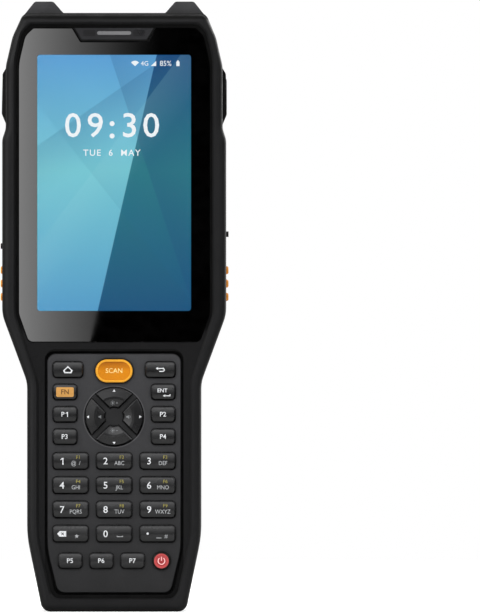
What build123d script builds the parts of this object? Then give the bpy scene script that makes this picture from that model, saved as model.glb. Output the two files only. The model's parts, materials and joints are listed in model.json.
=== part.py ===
"""Portable barcode data terminal.

The terminal stands upright on its flat lower end. Z runs along its length, X across it, and Y
through it from the screen (-Y) to the battery door (+Y). The origin is the middle of the foot.
"""

import os

from build123d import *

os.makedirs("parts", exist_ok=True)

# ---- Clearances -----------------------------------------------------------------------------
key_gap = 0.2  # round every key in its window
slide_gap = 0.10  # round latches, triggers and side keys
lid_gap = 0.15  # round the battery door and the port covers
end_gap = 0.05  # left at the end of a key's stroke
display_gap = 0.1  # between the cover glass and the picture

# ---- Screen, across and up --------------------------------------------------------------------
display_w = 52.3
display_h = 87.1
display_border = 1.8  # module frame round the picture
glass_side = 6.35  # black glass beside the picture
glass_below = 10.6
glass_above = 9.1
head_corner = ((0, 12.0), (2.2, 2.6), (5.0, 0))  # in from the side and down from the head
head_corner_rounds = (20, 5, 1.2)
glass_foot_corner = (3.4, 9.6)  # in from the side and up from the foot
glass_foot_rounds = (2.2, 6)
groove_w = 0.9  # dark groove between glass and bumper
bumper_w = 4.7  # bumper beside the glass

# ---- Keypad, across and up --------------------------------------------------------------------
panel_w = 45.6
panel_foot = 6.4  # from the lower end to the panel
panel_head = 5.5  # panel above the top row of keys
panel_frame = 2.9  # cover beside the panel
grip_bumper_w = 3.9  # bumper beside the keypad
row_foot = 17.3  # the lowest row of keys
row_first = 9.2  # from the lowest row to the digits
digit_pitch_z = 8.25
digit_pitch_x = 14.8
upper_pitch = 7.6
upper_x = 16.7
corner_key_x = 15.7
lower_x = 14.9
lower_pitch = 10.6
power_x = 16.1
panel_to_glass = 3.9

digit_key = (12.1, 5.8)
small_key = (8.1, 5.4)
corner_key = (10.2, 5.5)
scan_key = (12.9, 8.1)
power_key = (3.0,)  # round: its radius
nav_r = 9.9
nav_hub_r = 3.2
nav_split = 2.0
key_corner = 1.3
key_bevel = 0.4
key_rise = 1.1  # above the panel
key_crown = 0.35  # a key's upper and lower edges behind its crest
key_rim = (1.0, 0.15)  # raised rim of the scan and power keys: width and height
nav_dish = (6.5, 0.55, 0.3)  # the ring's crest, and its drop to the hub and to the outside
key_travel = 0.8
key_skirt = 0.7  # flange that holds a key behind the panel
key_skirt_t = 0.6
key_stem_r = 1.3

# ---- Through the thickness --------------------------------------------------------------------
depth = 33.0
bumper_depth = 10.5  # the bumper's share of it, from the front
boss_rise = 4.5  # finger rest above the spine
spine_rise = 3.5  # spine above the flanks
glass_drop = 0.5  # glass behind the bumper's crest
glass_t = 1.1
bezel_drop = 0.9
panel_drop = 1.3
panel_t = 1.2
bezel_t = 3.6
display_t = 2.6
membrane_t = 0.6
board_t = 0.8
midframe_t = 1.0
main_board_t = 1.0
shell_wall = 2.2
tub_wall = 1.6
door_t = 1.6

# ---- Outline ------------------------------------------------------------------------------------
top_rim = 5.4  # from the glass to the top edge
ear_rise = 3.8  # corner guards above the top edge
ear_x = (17.2, 20.8, 27.1, 31.4)
ear_drop = 7.5  # guards behind the bumper's crest
ear_foot = 3.9  # how far the guards root into the shell
ear_root = 2.0  # and under the top edge, inward
ear_sill = 0.3  # root below the top edge
ear_side = 1.6  # the guards' outer sides end this far below the top edge
ear_rounds = (0, 1.5, 1.4, 1.4, 1.5)
ear_slope = (3.0, 4.2)  # the guards' slope to the back: forward and down
guard_panel = (16.6, 0.4, 0.8)  # panel down the back: below the top edge, rise, corner
foot_half = 24.4
grip_z = 25.5  # the lower end's taper ends here
flare = (9.8, 9.3)  # below the panel's head and above the glass's foot
edge_round = 3.0
waist_in = 1.2  # the waist round the side keys
waist_drop = (15.5, 12.0, 18.4)  # its foot and its start below the side keys, its end below the top
shoulder_in = 3.5
crown_in = 7.0
shoulder_drop = 8.4
body_rounds = (3.4, 40, 12, 14, 6, 6, 12, 12, 3.2)  # the outline's corners from the foot up
bezel_foot = (4.5, 4.6)  # the cover's foot: up from the end, in from the grip
bezel_foot_rounds = (3.5, 40, 12, 12)
panel_taper = (3.6, 21.0)  # the keypad panel's foot: in from its side, up from the end
panel_rounds = (3.0, 30, 3.1)
bumper_drop = 0.8  # bumper below the top edge
bumper_bevel = 0.8
bumper_round = 2.4
bezel_head = 1.2  # cover above the glass
glass_gap = 0.1
panel_gap = 0.8  # dark groove round the keypad panel
panel_ledge = 0.8

# ---- Side fittings -------------------------------------------------------------------------------
side_y = 1.2  # middle line of all side fittings
side_key = (11.2, 5.0)
side_key_drop = 27.7  # below the top edge
side_key_travel = 0.6
side_key_proud = 0.8  # still outside its wall when pressed
side_flange_t = 0.8
side_flange = 0.8
guard_over = 1.2  # guard beyond the key at each end
guard_rise = 0.2  # guard beyond the widest outline
guard_ramp = 3.6
guard_root = 4.0  # the guards' inner side, from the widest outline
guard_lean = 2.2  # the upper ramp ends this far in
guard_drop = 4.5  # guards behind the bumper's crest
guard_round = 1.5
trigger = (11.9, 6.6)
trigger_up = 9.35  # above the lower edge of the picture
trigger_rib = 2.75
trigger_rib_rise = 1.3
trigger_travel = 0.8  # brings the ribs level with the side
port_lid = (12.0, 8.4)
port_lid_t = 1.6
port_up = 24.7
port_tab = (1.9, 5.0)
port_tab_rise = 0.8
port_tab_in = 0.6  # from the lid's back edge
port_tab_z = (-2.55, 1.5)  # tab on the left and on the right cover
port_body = (9.0, 3.2, 6.0)
port_y = -1.2  # middle line of both ports
port_floor = 0.1

# ---- Back ----------------------------------------------------------------------------------------
spine_half = 24.0
spine_shoulder = 4.5  # the spine's side leans in by this
spine_side = 0.8
spine_top_drop = 0.5
spine_bevel = 1.6
door_foot = 18.05
door_h = 73.95
seam_flat = 9.5  # half of the level middle of the door's upper seam
arc_rise = 5.4  # the seam's rise at its ends
door_bevel = (6.0, 1.9)
groove = (39.0, 6.4, 2.2)  # finger groove: width, height, corner
groove_depth = (0.1, 0.7)  # at its foot and at its head
groove_pitch = 17.0
groove_top = 76.7
pill = (3.6, 8.4)
pill_x = 8.8
pill_z = 30.7
pill_rise = 0.5
swing_pocket = (1.5, 2.7)  # room behind the door's upper corners: below its edge, into the flank
battery = (38.4, 66.0, 10.4)
battery_foot = 4.2  # above the door's lower edge
battery_gap = 0.3
bay_wall = 1.3

boss_gap_window = 2.1
boss_shoulder = (17.5, 7.6)
boss_round = 1.8
boss_slope = (7.5, 4.3)
plate_half = 21.3
plate_top_drop = 7.1
plate_foot_rise = 3.1
plate_arch = (11.5, 4.6)
plate_lip = (12.2, 4.6)
plate_rounds = (4, 6, 7, 8)
plate_bend = (1.9, 3.5)  # the plate's foot leans in by the first over the second
plate_turn = (0.55, 0.78, 1.0)  # upper bend: start, middle as shares of its height, drop there
plate_steps = ((14.2, 3.5), (11.2, 0.7))  # steps over the foot: half width, height above it
plate_step = (0.25, 0.8)  # a step's depth, and how far its ends turn up
plate_groove = (19.8, 2.2, 4.0, 0.4)  # guide groove: width, height, below the head, depth
plate_t = 1.6
plate_sunk = (0.9, 4.0)  # below the boss, at its foot and at its head
plate_ledge = 1.6
hole_pitch = (2.47, 2.37)
hole_count = (15, 13)
hole_r = 0.48
hole_drop = 23.4  # the grille's middle below the plate's head
hole_clear = ((13.8, 6.2), (16.2, 3.8))  # plain middle of the grille, half across and half up
rib_half = 11.6
rib_w = 1.7
rib_rise = 0.7
hollow_w = 3.2
hollow_depth = 0.9
cheek = (14.7, 2.25, 0.35)  # domes at the rib's ends: place across, radius, rise
foot_recess = (9.9, 11.3, 0.3)  # under the plate's foot: half widths at the seam and at the plate, floor
strap_slot = (19.6, 2.5)
strap_slot_drop = 4.65
strap_depth = 3.6
strap_bar = 1.9
foot_slot = (21.2, 2.9)
foot_slot_z = 8.55
foot_slot_bar = 1.9
foot_channel = 2.0
foot_block = 13.0

window_half = 15.9
window_h = 43.1
window_drop = 8.1
window_corner = 3.9
window_t = 0.9
window_sunk = 0.1
lens_x = 6.1
lens_up = 9.9
camera_r = 2.4
flash_r = 2.35
lens_flange = 1.0
lens_sunk = 0.1

notch_half = 16.5
notch_wing = (19.1, 2.0, 0.5)  # half width over the points, height, point below the wing's top
notch_foot = 7.0
notch_slant = 4.8  # how far the notch's floor leans forward on its way up
hood_wall = 3.0
scan_window_half = 12.6
scan_window_t = 1.0
scan_aperture = (18.0, 4.4)
scan_engine = (20.0, 9.0, 6.6)

latch = (2.5, 20.7)
latch_x = 27.1
latch_z = 48.45
latch_travel = 2.5
latch_room = (1.6, latch_travel + 0.2)  # free run below and above the latch
latch_depth = 1.9
latch_proud = 0.1
latch_grip = (1.5, 12.0, 0.9)
latch_grip_up = 1.5
notch_side = (3.8, 16.0, 1.4)  # finger hollows beside the door
vent = (2.0, 18.7, 1.5)
vent_x = (25.6, 29.2)
vent_z = 119.95

screw_head_r = 1.6
screw_head_t = 1.0
screw_shank_r = 0.9
screw_shank = 5.0
screw_sink = 1.3
screw_head_gap = 0.25
post_r = 2.4
plate_screw = (18.6, 5.8, 7.3)  # across, below the plate's head, above its foot
plate_screw_seat = (13.9, 15.1)  # head seats, upper and lower
plate_pad_r = 2.3
plate_pad_gap = 0.3
plate_pad_t = 1.2
window_screw_r = 1.0
window_screw = (17.6, 15.7)
small_shank_r = 0.6
small_head_t = 0.7

speaker = (16.0, 24.0, 2.6)
speaker_up = 14.0  # above the plate's foot
magnet = (6.0, 1.0)  # radius and height
sound_wall = 2.0
earpiece_half = (14.2, 11.4)
earpiece_h = 4.7
earpiece_drop = 1.7
board_size = (56.0, 92.0)
shield_cans = ((-13.0, 18.0, 20.0, 24.0), (12.0, 22.0, 18.0, 18.0), (0.0, -18.0, 34.0, 22.0))
shield_can_t = 1.6
frame_pocket = (9.0, 14.0, 2.0, 0.5)  # lightening pocket: width, height, corner, depth
frame_pocket_pitch = (14.0, 20.0)
earpiece_slot = (11.8, 1.35, 0.4)  # width, height, depth
earpiece_sunk = 0.1

# ---- Levels worked out from the sizes above ----------------------------------------------------
front_y = -depth / 2
seam_y = front_y + bumper_depth
boss_y = depth / 2
spine_y = boss_y - boss_rise
flank_y = spine_y - spine_rise
glass_y = front_y + glass_drop
seat_y = glass_y + glass_t
display_y = seat_y + display_gap
bezel_y = front_y + bezel_drop
panel_y = front_y + panel_drop
panel_back_y = panel_y + panel_t
bezel_back_y = bezel_y + bezel_t
board_y = bezel_back_y + membrane_t
midframe_y = board_y + board_t
main_board_y = midframe_y + midframe_t
inner_y = flank_y - shell_wall
door_inner_y = spine_y - door_t
bay_floor_y = door_inner_y - battery_gap - battery[2]

glass_half = display_w / 2 + glass_side
bezel_half = glass_half + groove_w
head_half = bezel_half + bumper_w
grip_inner = panel_w / 2 + panel_frame
grip_half = grip_inner + grip_bumper_w

digit_z = [row_foot + row_first + n * digit_pitch_z for n in range(4)]
upper_z = [digit_z[3] + digit_pitch_z + n * upper_pitch for n in range(4)]
nav_z = upper_z[1] - 0.8
panel_top = upper_z[3] + panel_head
glass_foot = panel_top + panel_to_glass
display_foot = glass_foot + glass_below
display_top = display_foot + display_h
glass_top = display_top + glass_above
top_z = glass_top + top_rim
full_z = top_z + ear_rise
flare_z = (panel_top - flare[0], glass_foot + flare[1])

side_key_z = top_z - side_key_drop
trigger_z = display_foot + trigger_up
port_z = display_foot + port_up
door_top = door_foot + door_h
window_top = top_z - window_drop
window_foot = window_top - window_h
boss_top = window_foot - boss_gap_window
plate_top = boss_top - plate_top_drop
plate_foot = door_top + plate_foot_rise
strap_z = boss_top - strap_slot_drop
sound_foot = door_top + arc_rise + sound_wall
hole_mid_z = plate_top - hole_drop
notch_z = top_z - notch_foot
notch_floor = (flank_y, flank_y - notch_slant)
hood_y = notch_floor[1] - hood_wall
hood_z = notch_z - 2.6
slant = (notch_foot**2 + notch_slant**2) ** 0.5
scan_window_h = slant - 1.6
scan_reach = slant
scan_plane = Plane(
    origin=(0, flank_y - notch_slant / 2, notch_z + notch_foot / 2),
    x_dir=(1, 0, 0),
    z_dir=(0, notch_foot, notch_slant),
)
display_z = (display_foot + display_top) / 2
earpiece_z = glass_top - earpiece_drop
speaker_z = plate_foot + speaker_up
spine_room_y = spine_y - shell_wall
spine_top_half = spine_half - spine_shoulder
bay_top = door_top + arc_rise + lid_gap
battery_z = door_foot + battery_foot + battery[1] / 2
port_x = head_half - port_lid_t - port_floor
lens_z = window_foot + lens_up
plate_screws = [(plate_screw[0], plate_top - plate_screw[1]), (plate_screw[0], plate_foot + plate_screw[2])]
window_screw_z = window_top - window_screw[1]
screw_places = [
    (28.9, top_z - 5.4),
    (33.4, top_z - 39.5),
    (33.4, top_z - 79.2),
    (30.4, door_top - 0.7),
    (26.1, door_foot + 45.4),
    (22.4, 8.5),
]


# ---- Shared shapes ---------------------------------------------------------------------------------
def layer(y):
    """A sketch plane across the terminal: sketch x is X, sketch y is Z, its normal faces the front."""
    return Plane(origin=(0, y, 0), x_dir=(1, 0, 0), z_dir=(0, -1, 0))


def mirrored_face(points, radii):
    """A face from its right half outline, which starts and ends on the middle line."""
    with BuildSketch() as face:
        with BuildLine():
            FilletPolyline(*points, radius=radii)
            mirror(about=Plane.YZ)
        make_face()
    return face.sketch


def body_face(inset, height):
    """The body's outline, without corner guards, drawn in by inset, up to height."""
    points = [
        (0, inset),
        (foot_half - inset, inset),
        (grip_half - inset, grip_z),
        (grip_half - inset, flare_z[0]),
        (head_half - inset, flare_z[1]),
        (head_half - inset, side_key_z - waist_drop[0]),
        (head_half - waist_in - inset, side_key_z - waist_drop[1]),
        (head_half - waist_in - inset, top_z - waist_drop[2]),
        (head_half - shoulder_in - inset, top_z - shoulder_drop),
        (head_half - crown_in - inset, height - inset),
        (0, height - inset),
    ]
    return mirrored_face(points, body_rounds)


def corner_points(half, head):
    """The upper corner that the glass and the cover round it share, then the head's middle."""
    return [(half - across, head - down) for across, down in head_corner] + [(0, head)]


def bezel_face(inset):
    """The outline inside the bumper, drawn in by inset."""
    points = [
        (0, bezel_foot[0] + inset),
        (grip_inner - bezel_foot[1] - inset, bezel_foot[0] + inset),
        (grip_inner - inset, grip_z),
        (grip_inner - inset, flare_z[0]),
        (bezel_half - inset, flare_z[1]),
    ]
    points += corner_points(bezel_half - inset, glass_top + bezel_head - inset)
    return mirrored_face(points, bezel_foot_rounds + head_corner_rounds)


def glass_face(inset):
    """The cover glass without its earpiece notch."""
    points = [
        (0, glass_foot + inset),
        (glass_half - glass_foot_corner[0] - inset, glass_foot + inset),
        (glass_half - inset, glass_foot + glass_foot_corner[1]),
    ]
    points += corner_points(glass_half - inset, glass_top - inset)
    return mirrored_face(points, glass_foot_rounds + head_corner_rounds)


def earpiece_face(inset):
    """The trapezoid at the head of the glass."""
    foot = glass_top - earpiece_h + inset
    head_end, foot_end = earpiece_half
    points = [(0, foot), (foot_end - inset, foot), (head_end - inset, glass_top), (0, glass_top)]
    return mirrored_face(points, [0.6, 0])


def panel_face(inset):
    """The keypad panel, whose lower end curves in."""
    points = [
        (0, panel_foot + inset),
        (panel_w / 2 - panel_taper[0] - inset, panel_foot + inset),
        (panel_w / 2 - inset, panel_taper[1]),
        (panel_w / 2 - inset, panel_top - inset),
        (0, panel_top - inset),
    ]
    return mirrored_face(points, panel_rounds)


def door_seam(half, z):
    """The seam over the battery door: level in its middle, rising to both sides."""
    with BuildLine() as seam:
        level = Line((0, z), (seam_flat, z))
        TangentArc(level @ 1, (half, z + arc_rise), tangent=level % 1)
        mirror(about=Plane.YZ)
    return seam.line


def door_face(gap):
    """The battery door from behind, up to its seam."""
    half = spine_half + gap
    with BuildSketch() as face:
        with BuildLine():
            add(door_seam(half, door_top + gap))
            Polyline(
                (half, door_top + arc_rise + gap),
                (half, door_foot - gap),
                (-half, door_foot - gap),
                (-half, door_top + arc_rise + gap),
            )
        make_face()
    return face.sketch


def boss_face():
    """The finger rest from behind: cut corners above, the door's seam below."""
    with BuildSketch() as face:
        with BuildLine():
            add(door_seam(spine_half, door_top))
            FilletPolyline(
                (spine_half, door_top + arc_rise),
                (spine_half, boss_top - boss_shoulder[1]),
                (boss_shoulder[0], boss_top),
                (-boss_shoulder[0], boss_top),
                (-spine_half, boss_top - boss_shoulder[1]),
                (-spine_half, door_top + arc_rise),
                radius=[5, 6, 6, 5],
            )
        make_face()
    return face.sketch


def plate_face(inset):
    """The speaker plate from behind: arched head, rounded foot."""
    points = [
        (0, plate_foot + inset),
        (plate_lip[0] - inset, plate_foot + inset),
        (plate_half - inset, plate_foot + plate_lip[1]),
        (plate_half - inset, plate_top - plate_arch[1]),
        (plate_arch[0] - inset, plate_top - inset),
        (0, plate_top - inset),
    ]
    return mirrored_face(points, plate_rounds)


def spine_profile(inset):
    """The spine's section, across the terminal."""
    with BuildSketch() as face:
        with BuildLine():
            FilletPolyline(
                (-spine_half + inset, flank_y - 0.5),
                (-spine_half + inset, flank_y + spine_side),
                (-spine_top_half, spine_y - inset),
                (spine_top_half, spine_y - inset),
                (spine_half - inset, flank_y + spine_side),
                (spine_half - inset, flank_y - 0.5),
                radius=[1.0, 7.0, 7.0, 1.0],
            )
            Line((spine_half - inset, flank_y - 0.5), (-spine_half + inset, flank_y - 0.5))
        make_face()
    return face.sketch


def plate_profile(lift):
    """The sloping speaker plate seen from the side, lifted by lift from its back."""
    foot_y = boss_y - plate_sunk[0] - plate_t
    head_y = boss_y - plate_sunk[1] - plate_t
    span = plate_top - plate_foot
    start, middle, drop = plate_turn
    with BuildSketch() as face:
        with BuildLine():
            back = Spline(
                (foot_y, plate_foot + span * start),
                (foot_y - drop, plate_foot + span * middle),
                (head_y, plate_top),
                tangents=((-0.02, 1), (-0.35, 1)),
            )
            Polyline(
                back @ 1,
                (boss_y + 1, plate_top),
                (boss_y + 1, plate_foot),
                (foot_y - plate_bend[0], plate_foot),
                (foot_y, plate_foot + plate_bend[1]),
                back @ 0,
            )
        make_face()
        if lift:
            add(face.sketch.moved(Location((lift, 0))), mode=Mode.SUBTRACT)
    return face.sketch


def foot_recess_face():
    """The recess between the door's seam and the speaker plate's foot."""
    seam_end, plate_end, _ = foot_recess
    head = plate_foot + lid_gap
    points = [(0, door_top), (seam_end, door_top), (plate_end, head), (0, head)]
    return mirrored_face(points, [0.6, 0])


def step_face(half, rise):
    """What lies below one step of the speaker plate's foot; the step's ends turn up."""
    turn = plate_step[1]
    points = [
        (0, plate_foot - 1),
        (half + turn, plate_foot - 1),
        (half + turn, plate_foot + rise + turn),
        (half, plate_foot + rise),
        (0, plate_foot + rise),
    ]
    return mirrored_face(points, [0, 0, 0])


# ---- Casing ----------------------------------------------------------------------------------------
def slab(face, y_front, y_back):
    """A plate of the given outline between two depths."""
    with BuildPart() as plate:
        with BuildSketch(layer(y_back)):
            add(face)
        extrude(amount=y_back - y_front)
    return plate.part


def side_slab(face, x_in, x_out):
    """A plate on the right-hand side; the face's x is Y and its y is Z."""
    with BuildPart() as plate:
        with BuildSketch(Plane.YZ.offset(x_in)):
            add(face)
        extrude(amount=x_out - x_in)
    return plate.part


def prism(points):
    """A bar across the terminal whose section is given as (y, z) corners."""
    with BuildPart() as bar:
        with BuildSketch(Plane.YZ):
            with BuildLine():
                Polyline(*points, close=True)
            make_face()
        extrude(amount=head_half + 1, both=True)
    return bar.part


def rounded(width, height, radius, x=0.0, z=0.0):
    """A rounded rectangle about (x, z)."""
    with BuildSketch() as face:
        with Locations((x, z)):
            RectangleRounded(width, height, radius)
    return face.sketch


def discs(places, radius):
    """Round spots at the given places on both sides of the middle line."""
    with BuildSketch() as face:
        for x, z in places:
            with Locations((x, z), (-x, z)):
                Circle(radius)
    return face.sketch


def pills(width, height, places):
    """Upright slots with round ends at the given places on both sides of the middle line."""
    with BuildSketch() as face:
        for x, z in places:
            with Locations((x, z), (-x, z)):
                SlotOverall(height, width, rotation=90)
    return face.sketch


def guards(y_front, y_back):
    """Side guards round both side keys."""
    reach = side_key[0] / 2 + guard_over
    root = head_half - guard_root
    with BuildSketch() as face:
        with BuildLine():
            FilletPolyline(
                (root, side_key_z - reach - guard_ramp),
                (head_half - waist_in - 0.1, side_key_z - reach - guard_ramp),
                (head_half + guard_rise, side_key_z - reach),
                (head_half - 0.1, side_key_z + reach),
                (head_half - guard_lean, side_key_z + reach + guard_ramp),
                (root, side_key_z + reach + guard_ramp),
                radius=[0, guard_round, guard_round, 0],
            )
            Line((root, side_key_z + reach + guard_ramp), (root, side_key_z - reach - guard_ramp))
        make_face()
        mirror(about=Plane.YZ)
    return slab(face.sketch, y_front, y_back)


def ears():
    """The two corner guards above the top edge, each with a panel down the back."""
    root = ear_x[0] - ear_root
    front = front_y + ear_drop
    back = flank_y + guard_panel[1]
    panel_foot_z = top_z - guard_panel[0]
    with BuildSketch() as face:
        with BuildLine():
            FilletPolyline(
                (root, top_z - ear_foot),
                (root, top_z - ear_sill),
                (ear_x[0], top_z - ear_sill),
                (ear_x[1], full_z),
                (ear_x[2], full_z),
                (ear_x[3], top_z - ear_side),
                (ear_x[3], top_z - ear_foot),
                radius=ear_rounds,
            )
            Line((ear_x[3], top_z - ear_foot), (root, top_z - ear_foot))
        make_face()
        mirror(about=Plane.YZ)
    slope = [(back - ear_slope[0], full_z + 0.1), (back, full_z - ear_slope[1])]
    outside = [(back + 1, full_z - ear_slope[1]), (back + 1, full_z + 0.1)]
    width = ear_x[3] - spine_half + 1
    height = guard_panel[0] - ear_foot + 1
    with BuildPart() as pair:
        add(slab(face.sketch, front, back))
        with BuildSketch(layer(back)):
            with Locations((ear_x[3] - width / 2, panel_foot_z + height / 2)):
                RectangleRounded(width, height, guard_panel[2])
            mirror(about=Plane.YZ)
        extrude(amount=edge_round + guard_panel[1])
        add(prism(slope + outside), mode=Mode.SUBTRACT)
    return pair.part


def make_bumper_frame():
    """The soft frame round the screen and the keypad."""
    with BuildPart() as bumper:
        add(slab(body_face(0, top_z - bumper_drop), front_y, seam_y))
        fillet(bumper.faces().sort_by(Axis.Y)[0].edges(), bumper_round)
        add(guards(front_y + guard_drop, seam_y))
        add(slab(bezel_face(0), front_y - 1, seam_y), mode=Mode.SUBTRACT)
        add(ears(), mode=Mode.SUBTRACT)
        mouth = bumper.faces().filter_by(Axis.Y).sort_by(Axis.Y)[0].inner_wires()[0]
        chamfer(mouth.edges(), bumper_bevel)
    return bumper.part


def side_blocks():
    """Solid stock inside the shell behind the ports, the latches and the strap anchor."""
    block_x = port_x - port_body[2] - bay_wall
    with BuildPart() as blocks:
        with BuildSketch(layer(inner_y)):
            with Locations((0, foot_block / 2)):
                Rectangle(foot_slot[0] + 4.0, foot_block)
            with Locations((latch_x, latch_z), (-latch_x, latch_z)):
                Rectangle(latch[0] + 3.0, latch[1] + sum(latch_room) + 3.0)
        extrude(amount=foot_channel + foot_slot_bar)
        for side in (-1, 1):
            with Locations((side * (block_x + head_half) / 2, port_y, port_z)):
                Box(head_half - block_x, port_body[1] + 2 * bay_wall, port_body[0] + 2 * bay_wall)
    return blocks.part


def cavity():
    """The room inside the shell: its walls, posts, bay and hood stay solid."""
    bay_half = battery[0] / 2 + battery_gap + bay_wall
    swing_foot = door_top - swing_pocket[0] - bay_wall
    with BuildPart() as room:
        add(slab(body_face(shell_wall, top_z), seam_y, inner_y))
        with BuildSketch(layer(inner_y)):
            with Locations((0, (door_foot + bay_top + bay_wall) / 2)):
                Rectangle(2 * bay_half, bay_top + bay_wall - door_foot)
        extrude(amount=inner_y - bay_floor_y + bay_wall, mode=Mode.SUBTRACT)
        with BuildSketch(layer(inner_y)):
            with Locations((0, (swing_foot + bay_top + bay_wall) / 2)):
                Rectangle(2 * (spine_half + bay_wall), bay_top + bay_wall - swing_foot)
        extrude(amount=swing_pocket[1], mode=Mode.SUBTRACT)
        with BuildSketch(layer(inner_y)):
            with Locations((0, (hood_z + top_z) / 2)):
                Rectangle(2 * notch_wing[0] + 3.0, top_z - hood_z)
        extrude(amount=inner_y - hood_y, mode=Mode.SUBTRACT)
        add(slab(discs(screw_places, post_r), seam_y, inner_y), mode=Mode.SUBTRACT)
        add(side_blocks(), mode=Mode.SUBTRACT)
        with BuildSketch(layer(spine_room_y)):
            with Locations((0, (sound_foot + hood_z) / 2)):
                Rectangle(2 * spine_top_half - 1.0, hood_z - sound_foot)
        extrude(amount=spine_room_y - inner_y)
    return room.part


def spine():
    """The raised spine above the battery door."""
    with BuildPart() as rib:
        with BuildSketch(Plane.XY.offset(door_top - 1.0)):
            add(spine_profile(0))
        extrude(amount=top_z - spine_top_drop - door_top + 1.0)
        head = top_z - spine_top_drop
        bevel = [(spine_y - spine_bevel, head), (spine_y, head - spine_bevel), (spine_y + 1, head + 1)]
        add(prism(bevel), mode=Mode.SUBTRACT)
    return rib.part


def finger_rest():
    """The raised rest on the spine, sloped down to the door's seam."""
    with BuildPart() as rest:
        add(slab(boss_face(), inner_y, boss_y))
        top = rest.faces().sort_by(Axis.Y)[-1]
        seam = top.edges().filter_by_position(Axis.Z, door_top - 1, door_top + arc_rise)
        chamfer(seam, boss_slope[0], boss_slope[1], reference=top)
        top = rest.faces().sort_by(Axis.Y)[-1]
        slope_top = door_top + arc_rise + boss_slope[0]
        fillet(top.edges().filter_by_position(Axis.Z, slope_top, full_z), boss_round)
        add(slab(foot_recess_face(), spine_y + foot_recess[2], boss_y), mode=Mode.SUBTRACT)
    return rest.part


def battery_space():
    """Room for the door, its swing and the battery."""
    half = battery[0] / 2 + battery_gap
    foot = battery_z - battery[1] / 2 - battery_gap
    with BuildPart() as space:
        add(slab(door_face(lid_gap), flank_y, boss_y + 1))
        with BuildSketch(layer(flank_y)):
            with Locations((0, (foot + bay_top) / 2)):
                Rectangle(2 * half, bay_top - foot)
        extrude(amount=flank_y - bay_floor_y)
        with BuildSketch(layer(flank_y)):
            add(door_face(lid_gap))
            with Locations((0, door_foot)):
                Rectangle(2 * head_half, 2 * (door_h - swing_pocket[0]), mode=Mode.SUBTRACT)
        extrude(amount=swing_pocket[1])
    return space.part


def rest_space():
    """The scoop for the speaker plate, the room behind it and the upper strap slot."""
    with BuildPart() as scoop:
        add(slab(plate_face(0), spine_room_y, boss_y + 1))
        with BuildSketch(Plane.YZ):
            add(plate_profile(0))
        extrude(amount=spine_half, both=True, mode=Mode.INTERSECT)
    with BuildPart() as space:
        add(scoop.part)
        with BuildSketch(layer(boss_y)):
            add(plate_face(plate_ledge))
            add(discs(plate_screws, plate_pad_r), mode=Mode.SUBTRACT)
        extrude(amount=boss_y - spine_room_y + 0.1)
        with BuildSketch(layer(boss_y + 1)):
            with Locations((0, strap_z)):
                SlotOverall(strap_slot[0], strap_slot[1])
        extrude(amount=strap_depth + 1)
        with BuildSketch(layer(boss_y - strap_bar)):
            with Locations((0, (strap_z + plate_top) / 2 - 0.5)):
                Rectangle(strap_slot[0] - strap_slot[1], strap_z - plate_top + 1.0)
        extrude(amount=strap_depth - strap_bar)
        add(slab(discs(plate_screws, small_shank_r), spine_room_y + 0.6, boss_y), mode=Mode.ADD)
    return space.part


def head_space():
    """Pockets for the rear window and its lenses, and the scanner's notch."""
    wing_half, wing_h, point_drop = notch_wing
    wing_top = top_z - spine_top_drop
    wing = [(0, wing_top), (notch_half, wing_top), (wing_half, wing_top - point_drop)]
    wing += [(notch_half, wing_top - wing_h), (0, wing_top - wing_h)]
    with BuildPart() as notch:
        with BuildSketch(layer(spine_y + 1)):
            with Locations((0, notch_z + notch_foot / 2 + 1.0)):
                RectangleRounded(2 * notch_half, notch_foot + 2.0, 1.7)
            add(mirrored_face(wing, [0, 0, 0]))
        extrude(amount=spine_y + 1 - hood_y)
        front = [(notch_floor[0], notch_z - 1), (notch_floor[0], notch_z), (notch_floor[1], top_z)]
        back = [(notch_floor[1], top_z + 3), (spine_y + 2, top_z + 3), (spine_y + 2, notch_z - 1)]
        add(prism(front + back), mode=Mode.INTERSECT)
    with BuildPart() as space:
        add(notch.part)
        with BuildSketch(scan_plane):
            Rectangle(2 * scan_window_half, scan_window_h)
        extrude(amount=-scan_window_t)
        with BuildSketch(scan_plane):
            Rectangle(*scan_aperture)
        extrude(amount=-scan_reach)
        with BuildSketch(layer(spine_y + 1)):
            with Locations((0, (window_foot + window_top) / 2)):
                RectangleRounded(2 * window_half, window_h, window_corner)
        extrude(amount=1 + window_sunk + window_t)
        with BuildSketch(layer(spine_y)):
            with Locations((lens_x, lens_z)):
                Circle(camera_r)
            with Locations((-lens_x, lens_z)):
                Circle(flash_r)
        extrude(amount=spine_y - spine_room_y)
        small = [(window_screw[0], window_screw_z)]
        add(slab(discs(small, window_screw_r + 0.1), spine_y - small_head_t, spine_y + 1))
        add(slab(discs(small, small_shank_r), spine_room_y + 0.4, spine_y))
    return space.part


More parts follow.
